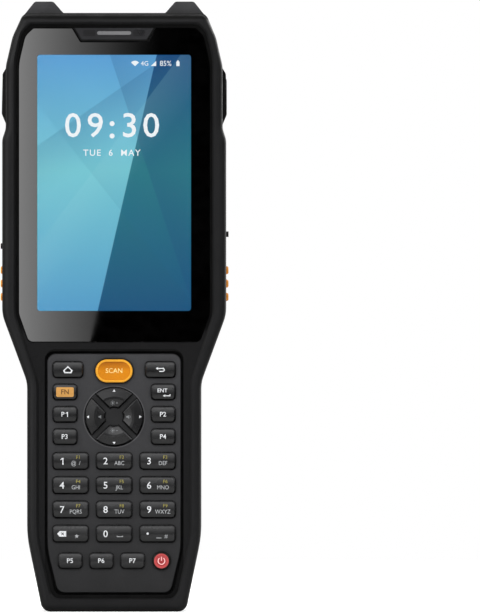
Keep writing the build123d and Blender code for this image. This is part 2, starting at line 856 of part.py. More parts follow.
def flank_space():
    """Screw seats, vents, latch beds, finger hollows and the lower strap slot."""
    latch_mid = latch_z + (latch_room[1] - latch_room[0]) / 2
    latch_run = latch[1] + sum(latch_room)
    hollow = (spine_half + notch_side[0] / 2 - 0.2, door_foot + notch_side[1] / 2)
    with BuildPart() as space:
        seat = screw_head_r + screw_head_gap
        add(slab(discs(screw_places, seat), flank_y - screw_sink, flank_y + 1))
        add(slab(discs(screw_places, screw_shank_r), flank_y - screw_sink - screw_shank, flank_y))
        vents = [(x, vent_z) for x in vent_x]
        add(slab(pills(vent[0], vent[1], vents), flank_y - vent[2], flank_y + 1))
        bed = pills(latch[0] + 2 * slide_gap, latch_run, [(latch_x, latch_mid)])
        add(slab(bed, flank_y - latch_depth, flank_y + 1))
        with BuildSketch(layer(flank_y + 1)):
            with Locations(hollow, (-hollow[0], hollow[1])):
                RectangleRounded(notch_side[0], notch_side[1], 0.9)
        extrude(amount=1 + notch_side[2])
        with BuildSketch(layer(flank_y + 1)):
            with Locations((0, foot_slot_z)):
                SlotOverall(foot_slot[0], foot_slot[1])
        extrude(amount=1 + foot_slot_bar + foot_channel)
        with BuildSketch(layer(flank_y - foot_slot_bar)):
            with Locations((0, foot_slot_z / 2)):
                Rectangle(foot_slot[0] - foot_slot[1], foot_slot_z)
        extrude(amount=foot_channel)
    return space.part


def side_space():
    """Windows in both side walls for the side keys, the triggers and the ports."""
    with BuildPart() as space:
        key_hole = rounded(side_key[1] + 2 * slide_gap, side_key[0] + 2 * slide_gap, 1.2, side_y, side_key_z)
        add(side_slab(key_hole, head_half - waist_in - shell_wall - 1, head_half + 2))
        hole = rounded(trigger[1] + 2 * slide_gap, trigger[0] + 2 * slide_gap, 1.2, side_y, trigger_z)
        add(side_slab(hole, head_half - shell_wall - 1, head_half + 2))
        recess = rounded(port_lid[1] + 2 * lid_gap, port_lid[0] + 2 * lid_gap, 1.4, port_y, port_z)
        add(side_slab(recess, port_x, head_half + 2))
        mouth = rounded(port_body[1], port_body[0], 1.2, port_y, port_z)
        add(side_slab(mouth, port_x - port_body[2], port_x))
        mirror(about=Plane.YZ)
    return space.part


def make_rear_cover():
    """The rear shell with its spine, finger rest, battery bay and pockets."""
    with BuildPart() as cover:
        add(slab(body_face(0, top_z), seam_y, flank_y))
        fillet(cover.faces().sort_by(Axis.Y)[-1].edges(), edge_round)
        add(guards(seam_y, flank_y - 3.5))
        add(ears())
        add(spine())
        add(finger_rest())
        for space in (cavity(), battery_space(), rest_space(), head_space(), flank_space(), side_space()):
            add(space, mode=Mode.SUBTRACT)
    return cover.part


def make_front_cover():
    """The tub that carries the glass, the keypad and the boards."""
    with BuildPart() as cover:
        add(slab(bezel_face(0), bezel_y, seam_y))
        add(slab(bezel_face(tub_wall), bezel_back_y, seam_y), mode=Mode.SUBTRACT)
        add(slab(glass_face(-glass_gap), front_y, seat_y), mode=Mode.SUBTRACT)
        opening = rounded(display_w + 2 * display_border, display_h + 2 * display_border, 1.0, 0, display_z)
        add(slab(opening, front_y, seam_y), mode=Mode.SUBTRACT)
        add(slab(panel_face(-panel_gap), front_y, panel_back_y), mode=Mode.SUBTRACT)
        add(slab(panel_face(panel_ledge), front_y, seam_y), mode=Mode.SUBTRACT)
        with BuildSketch(layer(seam_y)):
            with Locations((0, earpiece_z)):
                SlotOverall(earpiece_slot[0], earpiece_slot[1])
        extrude(amount=seam_y - front_y, mode=Mode.SUBTRACT)
    return cover.part


def make_touch_glass():
    """The cover glass, notched for the earpiece."""
    with BuildPart() as glass:
        add(slab(glass_face(0), glass_y, seat_y))
        add(slab(earpiece_face(0), glass_y - 1, seat_y), mode=Mode.SUBTRACT)
        chamfer(glass.faces().sort_by(Axis.Y)[0].edges(), 0.2)
    return glass.part


def make_earpiece_grille():
    """The trapezoid over the earpiece, with its sound slot."""
    with BuildPart() as grille:
        add(slab(earpiece_face(lid_gap), glass_y + earpiece_sunk, seat_y))
        with BuildSketch(layer(glass_y + earpiece_sunk)):
            with Locations((0, earpiece_z)):
                SlotOverall(earpiece_slot[0], earpiece_slot[1])
        extrude(amount=-earpiece_slot[2], mode=Mode.SUBTRACT)
    return grille.part


def make_display_panel():
    """The picture module behind the glass."""
    outline = rounded(display_w + 2 * display_border, display_h + 2 * display_border, 1.0, 0, display_z)
    with BuildPart() as panel:
        add(slab(outline, display_y, display_y + display_t))
    return panel.part


def make_midframe():
    """The stiff plate behind the screen and the keypad, raised under the screen."""
    tray = rounded(display_w + 2 * display_border, display_h + 2 * display_border, 1.0, 0, display_z)
    with BuildPart() as frame:
        add(slab(bezel_face(tub_wall), midframe_y, main_board_y))
        add(slab(tray, display_y + display_t, midframe_y))
        with BuildSketch(layer(main_board_y)):
            with Locations((0, display_z)):
                with GridLocations(frame_pocket_pitch[0], frame_pocket_pitch[1], 3, 4):
                    RectangleRounded(frame_pocket[0], frame_pocket[1], frame_pocket[2])
        extrude(amount=frame_pocket[3], mode=Mode.SUBTRACT)
    return frame.part


def make_main_board():
    """The main circuit board with its shield cans."""
    with BuildPart() as board:
        outline = rounded(board_size[0], board_size[1], 3.0, 0, display_z)
        add(slab(outline, main_board_y, main_board_y + main_board_t))
        seat = main_board_y + main_board_t
        for x, z, width, height in shield_cans:
            add(slab(rounded(width, height, 1.0, x, display_z + z), seat, seat + shield_can_t))
    return board.part


def make_keypad_board():
    """The circuit board under the keys."""
    with BuildPart() as board:
        add(slab(panel_face(1.0), board_y, midframe_y))
    return board.part


def make_keypad_membrane():
    """The sealing sheet between the keys and their board."""
    with BuildPart() as sheet:
        add(slab(panel_face(1.0), bezel_back_y, board_y))
    return sheet.part


def make_rear_window():
    """The glossy cover over the camera and the flash."""
    middle = (window_foot + window_top) / 2
    outer = spine_y - window_sunk
    with BuildPart() as window:
        edge = rounded(2 * window_half - 0.3, window_h - 0.3, window_corner - 0.15, 0, middle)
        add(slab(edge, outer - window_t, outer))
        with BuildSketch(layer(outer)):
            with Locations((lens_x, lens_z)):
                Circle(camera_r)
            with Locations((-lens_x, lens_z)):
                Circle(flash_r)
        extrude(amount=window_t, mode=Mode.SUBTRACT)
        chamfer(window.faces().sort_by(Axis.Y)[-1].outer_wire().edges(), 0.2)
    return window.part


def lens_unit(x, radius):
    """A round unit through the rear window, flanged inside the cover."""
    outer = spine_y - window_sunk - lens_sunk
    with BuildPart() as unit:
        with BuildSketch(layer(outer)):
            with Locations((x, lens_z)):
                Circle(radius)
        extrude(amount=outer - spine_room_y)
        with BuildSketch(layer(spine_room_y)):
            with Locations((x, lens_z)):
                Rectangle(2 * (radius + lens_flange), 2 * (radius + lens_flange))
        extrude(amount=2.0)
    return unit.part


def make_scan_window():
    """The slanted window that the scanner looks through."""
    with BuildPart() as window:
        with BuildSketch(scan_plane):
            Rectangle(2 * scan_window_half - 0.1, scan_window_h - 0.1)
        extrude(amount=-scan_window_t)
    return window.part


def make_scan_engine():
    """The scanner, under its hood."""
    with BuildPart() as engine:
        with Locations((0, inner_y - scan_engine[2] / 2, hood_z - scan_engine[1] / 2)):
            Box(scan_engine[0], scan_engine[2], scan_engine[1])
        with Locations((0, inner_y - scan_engine[2] - 0.8, hood_z - scan_engine[1] / 2)):
            Box(scan_engine[0] - 6.0, 1.6, scan_engine[1] - 3.0)
    return engine.part


def make_loudspeaker():
    """The loudspeaker behind the speaker plate."""
    back = boss_y - plate_sunk[0] - plate_t
    with BuildPart() as unit:
        outline = rounded(speaker[1], speaker[0], 3.0, 0, speaker_z)
        add(slab(outline, back - speaker[2], back))
        with BuildSketch(layer(back - speaker[2])):
            with Locations((0, speaker_z)):
                Circle(magnet[0])
        extrude(amount=magnet[1])
    return unit.part


def plate_skim(face, depth):
    """What lies under an outline down to this depth below the speaker plate's outside."""
    with BuildPart() as skim:
        add(slab(face, spine_room_y, boss_y + 1))
        with BuildSketch(Plane.YZ):
            add(plate_profile(0).moved(Location((plate_t - depth, 0))))
        extrude(amount=spine_half, both=True, mode=Mode.INTERSECT)
    return skim.part


def cheeks(front):
    """Soft domes on the plate at both ends of its rib."""
    across, radius, rise = cheek
    ball = (radius**2 + rise**2) / (2 * rise)
    depth = front + rise - ball
    root = rounded(2 * plate_half, 2 * ball, 1.0, 0, hole_mid_z)
    with BuildPart() as domes:
        with Locations((across, depth, hole_mid_z), (-across, depth, hole_mid_z)):
            Sphere(ball)
        add(slab(root, front - plate_t / 2, boss_y + 1), mode=Mode.INTERSECT)
    return domes.part


def make_speaker_plate():
    """The sloping, perforated plate of the finger rest, with its pinch rib."""
    front = boss_y - plate_sunk[0]
    with BuildPart() as plate:
        add(slab(plate_face(0.1), spine_room_y, boss_y + 1))
        with BuildSketch(Plane.YZ):
            add(plate_profile(plate_t))
        extrude(amount=spine_half, both=True, mode=Mode.INTERSECT)
        # pinch rib between two hollows
        for offset in (-1, 1):
            with BuildSketch(layer(front + 1)):
                with Locations((0, hole_mid_z + offset * (rib_w + hollow_w) / 2)):
                    SlotOverall(2 * rib_half + 1.5, hollow_w)
            extrude(amount=1 + hollow_depth, mode=Mode.SUBTRACT)
        with BuildSketch(layer(front + rib_rise)):
            with Locations((0, hole_mid_z)):
                SlotOverall(2 * rib_half, rib_w)
        extrude(amount=rib_rise + hollow_depth)
        add(cheeks(front))
        for half, rise in plate_steps:
            depth = plate_step[0] * (1 + (half < plate_steps[0][0]))
            add(plate_skim(step_face(half, rise), depth), mode=Mode.SUBTRACT)
        with BuildSketch() as guide:
            with Locations((0, plate_top - plate_groove[2])):
                SlotOverall(plate_groove[0], plate_groove[1])
        add(plate_skim(guide.sketch, plate_groove[3]), mode=Mode.SUBTRACT)
        # round pads under the upper screws
        pads = discs(plate_screws[:1], plate_pad_r - plate_pad_gap)
        add(slab(pads, plate_screw_seat[0] - plate_pad_t, plate_screw_seat[0] + small_head_t))
        add(slab(plate_face(0.1), spine_room_y, boss_y + 1), mode=Mode.INTERSECT)
        for place, seat in zip(plate_screws, plate_screw_seat):
            add(slab(discs([place], screw_head_r), seat, boss_y + 1), mode=Mode.SUBTRACT)
            add(slab(discs([place], small_shank_r), spine_room_y, seat), mode=Mode.SUBTRACT)
        add(slab(perforations(), spine_room_y, boss_y + 1), mode=Mode.SUBTRACT)
    return plate.part


def perforations():
    """The grille's holes: a full grid, plain in its middle."""
    with BuildSketch() as face:
        with Locations((0, hole_mid_z)):
            with GridLocations(hole_pitch[0], hole_pitch[1], hole_count[0], hole_count[1]) as grid:
                places = [spot.position for spot in grid.locations]
        kept = [
            (spot.X, spot.Y)
            for spot in places
            if not any(abs(spot.X) < across and abs(spot.Y - hole_mid_z) < up for across, up in hole_clear)
        ]
        with Locations(*kept):
            RegularPolygon(hole_r, 6)
    return face.sketch


# ---- Battery ----------------------------------------------------------------------------------------
def finger_groove(z):
    """One wedge-shaped groove across the battery door, deepest along its upper side."""
    width, height, corner = groove
    foot, head = z - height / 2, z + height / 2
    floor = [(spine_y - groove_depth[0], foot), (spine_y - groove_depth[1], head)]
    outside = [(spine_y + 1, head), (spine_y + 1, foot)]
    with BuildPart() as wedge:
        add(slab(rounded(width, height, corner, 0, z), spine_y - groove_depth[1], spine_y + 1))
        add(prism(floor + outside), mode=Mode.INTERSECT)
    return wedge.part


def make_battery_door():
    """The lid over the battery: the spine's lower half, hollow inside."""
    rim = flank_y + end_gap
    with BuildPart() as door:
        with BuildSketch(Plane.XY.offset(door_foot)):
            add(spine_profile(0))
        extrude(amount=door_h + arc_rise)
        add(slab(door_face(0), flank_y - 1, spine_y + 1), mode=Mode.INTERSECT)
        slope = [(spine_y, door_foot + door_bevel[0]), (spine_y - door_bevel[1], door_foot)]
        outside = [(spine_y + 1, door_foot - 1), (spine_y + 1, door_foot + door_bevel[0])]
        add(prism(slope + outside), mode=Mode.SUBTRACT)
        with BuildSketch(Plane.XY.offset(door_foot + door_t)):
            add(spine_profile(door_t))
        extrude(amount=door_h + arc_rise, mode=Mode.SUBTRACT)
        with Locations((0, rim - 5, (door_foot + door_top) / 2)):
            Box(3 * spine_half, 10, 2 * door_h, mode=Mode.SUBTRACT)
        for n in range(3):
            add(finger_groove(groove_top - n * groove_pitch), mode=Mode.SUBTRACT)
        ridge = pills(pill[0], pill[1], [(pill_x, pill_z)])
        add(slab(ridge, spine_y - door_t / 2, spine_y + pill_rise))
        chamfer(door.faces().filter_by(Axis.Y).sort_by(Axis.Y)[-2:].edges(), 0.3)
    return door.part


def make_battery_pack():
    """The battery in its bay."""
    with BuildPart() as pack:
        with Locations((0, bay_floor_y + battery[2] / 2, battery_z)):
            Box(battery[0], battery[2], battery[1])
        chamfer(pack.edges().filter_by(Axis.Z), 1.2)
    return pack.part


def make_latch(side):
    """One of the two sliders that hold the battery door."""
    foot = flank_y - latch_depth + end_gap
    with BuildSketch() as face:
        with Locations((side * latch_x, latch_z)):
            SlotOverall(latch[1], latch[0], rotation=90)
    with BuildPart() as slider:
        add(slab(face.sketch, foot, flank_y + latch_proud))
        chamfer(slider.faces().sort_by(Axis.Y)[-1].edges(), 0.35)
        with BuildSketch(layer(flank_y + 1)):
            with Locations((side * latch_x, latch_z + latch_grip_up)):
                SlotOverall(latch_grip[1], latch_grip[0], rotation=90)
        extrude(amount=1 + latch_grip[2], mode=Mode.SUBTRACT)
    return slider.part


# ---- Side fittings ----------------------------------------------------------------------------------
def make_trigger(side):
    """A ribbed side trigger with the flange that keeps it in the wall."""
    inner = head_half - shell_wall
    rib_x = head_half + trigger_travel
    pitch = (trigger[0] - trigger_rib) / 2
    with BuildPart() as piece:
        cap = rounded(trigger[1], trigger[0], 1.1, side_y, trigger_z)
        add(side_slab(cap, inner, rib_x - trigger_rib_rise))
        flange = [extent + 2 * side_flange for extent in trigger]
        add(side_slab(rounded(flange[1], flange[0], 1.1, side_y, trigger_z), inner - side_flange_t, inner))
        for n in (-1, 0, 1):
            rib = rounded(trigger[1], trigger_rib, 1.1, side_y, trigger_z + n * pitch)
            add(side_slab(rib, inner, rib_x))
        tips = piece.faces().group_by(Axis.X)[-1]
        fillet(tips.edges(), 0.6)
    return piece.part if side > 0 else mirror(piece.part, about=Plane.YZ)


def make_side_key(side):
    """A plain side key between its guards."""
    inner = head_half - waist_in - shell_wall
    with BuildPart() as piece:
        cap = rounded(side_key[1], side_key[0], 1.1, side_y, side_key_z)
        add(side_slab(cap, inner, head_half - waist_in + side_key_travel + side_key_proud))
        flange = [extent + 2 * side_flange for extent in side_key]
        add(side_slab(rounded(flange[1], flange[0], 1.1, side_y, side_key_z), inner - side_flange_t, inner))
        chamfer(piece.faces().sort_by(Axis.X)[-1].edges(), 0.4)
    return piece.part if side > 0 else mirror(piece.part, about=Plane.YZ)


def make_port_cover(side, tab_z):
    """A rubber lid over a side port, with its pull tab."""
    inner = head_half - port_lid_t
    tab_x = head_half + port_tab_rise
    with BuildPart() as piece:
        lid = rounded(port_lid[1], port_lid[0], 1.3, port_y, port_z)
        add(side_slab(lid, inner, head_half))
        chamfer(piece.faces().sort_by(Axis.X)[-1].edges(), 0.3)
        tab_y = port_y + (port_lid[1] - port_tab[1]) / 2 - port_tab_in
        add(side_slab(rounded(port_tab[1], port_tab[0], 0.8, tab_y, port_z + tab_z), inner, tab_x))
    return piece.part if side > 0 else mirror(piece.part, about=Plane.YZ)


def make_port_connectors():
    """The metal socket behind each port cover."""
    with BuildPart() as sockets:
        shell = rounded(port_body[1], port_body[0], 1.2, port_y, port_z)
        add(side_slab(shell, port_x - port_body[2], port_x))
        mouth = rounded(port_body[1] - 0.7, port_body[0] - 0.7, 1.0, port_y, port_z)
        add(side_slab(mouth, port_x - port_body[2] + 1.2, port_x), mode=Mode.SUBTRACT)
        tongue = rounded(0.7, port_body[0] - 2.4, 0.2, port_y, port_z)
        add(side_slab(tongue, port_x - port_body[2] + 1.0, port_x - 0.8))
        mirror(about=Plane.YZ)
    return sockets.part


# ---- Screws -------------------------------------------------------------------------------------------
def make_cover_screws():
    """The twelve screws that close the casing."""
    seat = flank_y - screw_sink
    with BuildPart() as screws:
        add(slab(discs(screw_places, screw_head_r), seat, seat + screw_head_t))
        add(slab(discs(screw_places, screw_shank_r), seat - screw_shank, seat))
    return screws.part


def make_small_screws():
    """Four screws in the speaker plate and two beside the rear window."""
    small = [(window_screw[0], window_screw_z)]
    with BuildPart() as screws:
        for place, seat in zip(plate_screws, plate_screw_seat):
            add(slab(discs([place], screw_head_r - 0.1), seat, seat + small_head_t))
            add(slab(discs([place], small_shank_r), spine_room_y + 0.6, seat))
        add(slab(discs(small, window_screw_r), spine_y - small_head_t, spine_y - 0.1))
        add(slab(discs(small, small_shank_r), spine_room_y + 0.4, spine_y - small_head_t))
    return screws.part


# ---- Keys ------------------------------------------------------------------------------------------------
def key_outline(size, x, z, grow):
    """A key's outline, grown all round."""
    if isinstance(size, str):
        return nav_outline(size, grow)
    with BuildSketch() as face:
        with Locations((x, z)):
            if len(size) == 1:
                Circle(size[0] + grow)
            elif size == scan_key:
                SlotOverall(size[0] + 2 * grow, size[1] + 2 * grow)
            else:
                RectangleRounded(size[0] + 2 * grow, size[1] + 2 * grow, key_corner + grow)
    return face.sketch


def nav_outline(direction, grow):
    """One quarter of the ring, between its two diagonal gaps."""
    turn = {"up": 0, "left": 90, "down": 180, "right": 270}[direction]
    apex = (nav_split / 2 - grow) * 2**0.5
    reach = nav_r + 4
    with BuildSketch() as quarter:
        with BuildLine():
            Polyline((0, apex), (reach, apex + reach), (-reach, apex + reach), close=True)
        make_face()
        Circle(nav_r + grow, mode=Mode.INTERSECT)
        Circle(nav_hub_r - grow, mode=Mode.SUBTRACT)
    with BuildSketch() as face:
        add(quarter.sketch.rotate(Axis.Z, turn).moved(Location((0, nav_z))))
    return face.sketch


def crowned(z, height):
    """A bar across the keypad whose front is arched over one key's height."""
    crest = panel_y - key_rise
    edge = crest + key_crown
    with BuildPart() as bar:
        with BuildSketch(Plane.YZ):
            with BuildLine():
                arch = ThreePointArc((edge, z - height / 2), (crest, z), (edge, z + height / 2))
                Polyline(arch @ 1, (panel_back_y, z + height / 2), (panel_back_y, z - height / 2), arch @ 0)
            make_face()
        extrude(amount=panel_w / 2, both=True)
    return bar.part


def dished():
    """A turned ring whose front falls from its crest to the hub and to the outside."""
    crest_r, hub_drop, rim_drop = nav_dish
    crest = panel_y - key_rise
    with BuildPart() as ring:
        with BuildSketch(Plane.XY.offset(nav_z)):
            with BuildLine():
                Polyline(
                    (nav_hub_r, crest + hub_drop),
                    (crest_r, crest),
                    (nav_r, crest + rim_drop),
                    (nav_r, panel_back_y),
                    (nav_hub_r, panel_back_y),
                    close=True,
                )
            make_face()
        revolve(axis=Axis((0, 0, nav_z), (0, 1, 0)))
    return ring.part


def make_key(size, x, z):
    """A key cap with its flange and stem."""
    crest = panel_y - key_rise
    skirt_back = panel_back_y + key_skirt_t
    stem_end = bezel_back_y - key_travel - end_gap
    with BuildPart() as key:
        add(slab(key_outline(size, x, z, 0), crest, panel_back_y))
        if isinstance(size, str):
            add(dished(), mode=Mode.INTERSECT)
            front = key.faces().filter_by(GeomType.CONE)
            chamfer(front.edges().sort_by(Axis.Y)[1:], key_bevel)
        elif size in (scan_key, power_key):
            chamfer(key.faces().sort_by(Axis.Y)[0].edges(), key_bevel)
            middle = key_outline(size, x, z, -key_rim[0])
            add(slab(middle, crest - 1, crest + key_rim[1]), mode=Mode.SUBTRACT)
        else:
            add(crowned(z, size[1]), mode=Mode.INTERSECT)
            chamfer(key.faces().sort_by(Axis.Y)[0].edges(), key_bevel)
        add(slab(key_outline(size, x, z, key_skirt), panel_back_y, skirt_back))
        with BuildSketch(layer(stem_end)):
            with Locations((x, z)):
                Circle(key_stem_r)
        extrude(amount=stem_end - skirt_back)
    return key.part


def make_keypad_panel():
    """The plate that frames the keys, with a window for each."""
    with BuildPart() as panel:
        add(slab(panel_face(0), panel_y, panel_back_y))
        chamfer(panel.faces().sort_by(Axis.Y)[0].edges(), 0.3)
        for size, x, z in keys.values():
            add(slab(key_outline(size, x, z, key_gap), panel_y - 1, panel_back_y), mode=Mode.SUBTRACT)
    return panel.part


nav_mid = (nav_r + nav_hub_r) / 2
keys = {
    "key_home": (corner_key, -corner_key_x, upper_z[3]),
    "key_scan": (scan_key, 0, upper_z[3] - 0.4),
    "key_back": (corner_key, corner_key_x, upper_z[3]),
    "key_fn": (small_key, -upper_x, upper_z[2]),
    "key_enter": (small_key, upper_x, upper_z[2]),
    "key_p1": (small_key, -upper_x, upper_z[1]),
    "key_p2": (small_key, upper_x, upper_z[1]),
    "key_p3": (small_key, -upper_x, upper_z[0]),
    "key_p4": (small_key, upper_x, upper_z[0]),
    "key_nav_up": ("up", 0, nav_z + nav_mid),
    "key_nav_left": ("left", -nav_mid, nav_z),
    "key_nav_down": ("down", 0, nav_z - nav_mid),
    "key_nav_right": ("right", nav_mid, nav_z),
    "key_star": (digit_key, -digit_pitch_x, digit_z[0]),
    "key_0": (digit_key, 0, digit_z[0]),
    "key_hash": (digit_key, digit_pitch_x, digit_z[0]),
    "key_p5": (small_key, -lower_x, row_foot),
    "key_p6": (small_key, lower_pitch - lower_x, row_foot),
    "key_p7": (small_key, 2 * lower_pitch - lower_x, row_foot),
    "key_power": (power_key, power_x, row_foot),
}
for digit in range(1, 10):
    row, column = divmod(digit - 1, 3)
    keys[f"key_{digit}"] = (digit_key, (column - 1) * digit_pitch_x, digit_z[3 - row])

pieces = {
    "bumper_frame": make_bumper_frame(),
    "front_cover": make_front_cover(),
    "rear_cover": make_rear_cover(),
    "touch_glass": make_touch_glass(),
    "display_panel": make_display_panel(),
    "earpiece_grille": make_earpiece_grille(),
    "keypad_panel": make_keypad_panel(),
    "keypad_membrane": make_keypad_membrane(),
    "keypad_board": make_keypad_board(),
    "midframe": make_midframe(),
    "main_board": make_main_board(),
    "rear_window": make_rear_window(),
    "camera_module": lens_unit(lens_x, camera_r),
    "flash_led": lens_unit(-lens_x, flash_r),
    "scan_window": make_scan_window(),
    "scan_engine": make_scan_engine(),
    "speaker_plate": make_speaker_plate(),
    "loudspeaker": make_loudspeaker(),
    "battery_door": make_battery_door(),
    "battery_pack": make_battery_pack(),
    "latch_left": make_latch(-1),
    "latch_right": make_latch(1),
    "trigger_left": make_trigger(-1),
    "trigger_right": make_trigger(1),
    "side_key_left": make_side_key(-1),
    "side_key_right": make_side_key(1),
    "port_cover_left": make_port_cover(-1, port_tab_z[0]),
    "port_cover_right": make_port_cover(1, port_tab_z[1]),
    "port_connectors": make_port_connectors(),
    "cover_screws": make_cover_screws(),
    "small_screws": make_small_screws(),
}
for name, (size, x, z) in keys.items():
    pieces[name] = make_key(size, x, z)

for name, piece in pieces.items():
    piece.label = name
    export_step(piece, f"parts/{name}.step")
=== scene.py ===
"""Looks of the portable barcode data terminal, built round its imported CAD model."""

import json
import math

import bmesh
import bpy
from mathutils import Matrix, Vector


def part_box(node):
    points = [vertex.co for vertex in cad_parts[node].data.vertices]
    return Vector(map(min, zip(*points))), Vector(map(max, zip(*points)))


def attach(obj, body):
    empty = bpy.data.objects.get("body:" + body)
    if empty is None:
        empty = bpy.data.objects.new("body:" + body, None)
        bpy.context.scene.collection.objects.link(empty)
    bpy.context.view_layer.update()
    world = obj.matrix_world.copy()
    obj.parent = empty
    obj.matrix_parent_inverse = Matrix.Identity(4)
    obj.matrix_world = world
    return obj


MM = 0.001
MIDDLE_Z = 0.104  # about half of the part's length
FLANK_Y = 8.5 * MM  # level of the rear shell beside its spine
SKIRT = 0.7 * MM  # flange that holds a key behind the keypad plate
GROOVE_AND_SHADOW = 0.8 * MM  # how far the painted shadow reaches past the keypad plate's sides, and the black round the rear pane
STRAP_SLOT = (21.2 * MM, 2.9 * MM, 8.55 * MM)  # the lower one: width, height and middle
# Paler parts of the rear shell, down from its top: beside the spine, and all across.
PALE_SIDES, PALE_HEAD = 20.4 * MM, 4.0 * MM
GLARE = (0.384, 0.391)  # slant and start of the painted reflection's edge on the picture, in shares of the picture
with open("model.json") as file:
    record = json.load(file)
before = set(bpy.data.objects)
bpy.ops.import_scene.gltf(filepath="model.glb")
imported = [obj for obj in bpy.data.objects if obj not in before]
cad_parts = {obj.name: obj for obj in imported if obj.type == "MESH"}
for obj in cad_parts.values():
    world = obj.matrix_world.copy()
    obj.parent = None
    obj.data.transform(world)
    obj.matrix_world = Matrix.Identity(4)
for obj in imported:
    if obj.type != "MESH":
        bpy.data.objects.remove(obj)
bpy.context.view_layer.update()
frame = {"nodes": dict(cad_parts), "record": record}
nodes = frame["nodes"]


def srgb(red, green, blue):
    """A linear colour from its values out of 255 as seen on a screen."""
    values = [c / 255 for c in (red, green, blue)]
    return tuple(c / 12.92 if c <= 0.04045 else ((c + 0.055) / 1.055) ** 2.4 for c in values) + (1.0,)


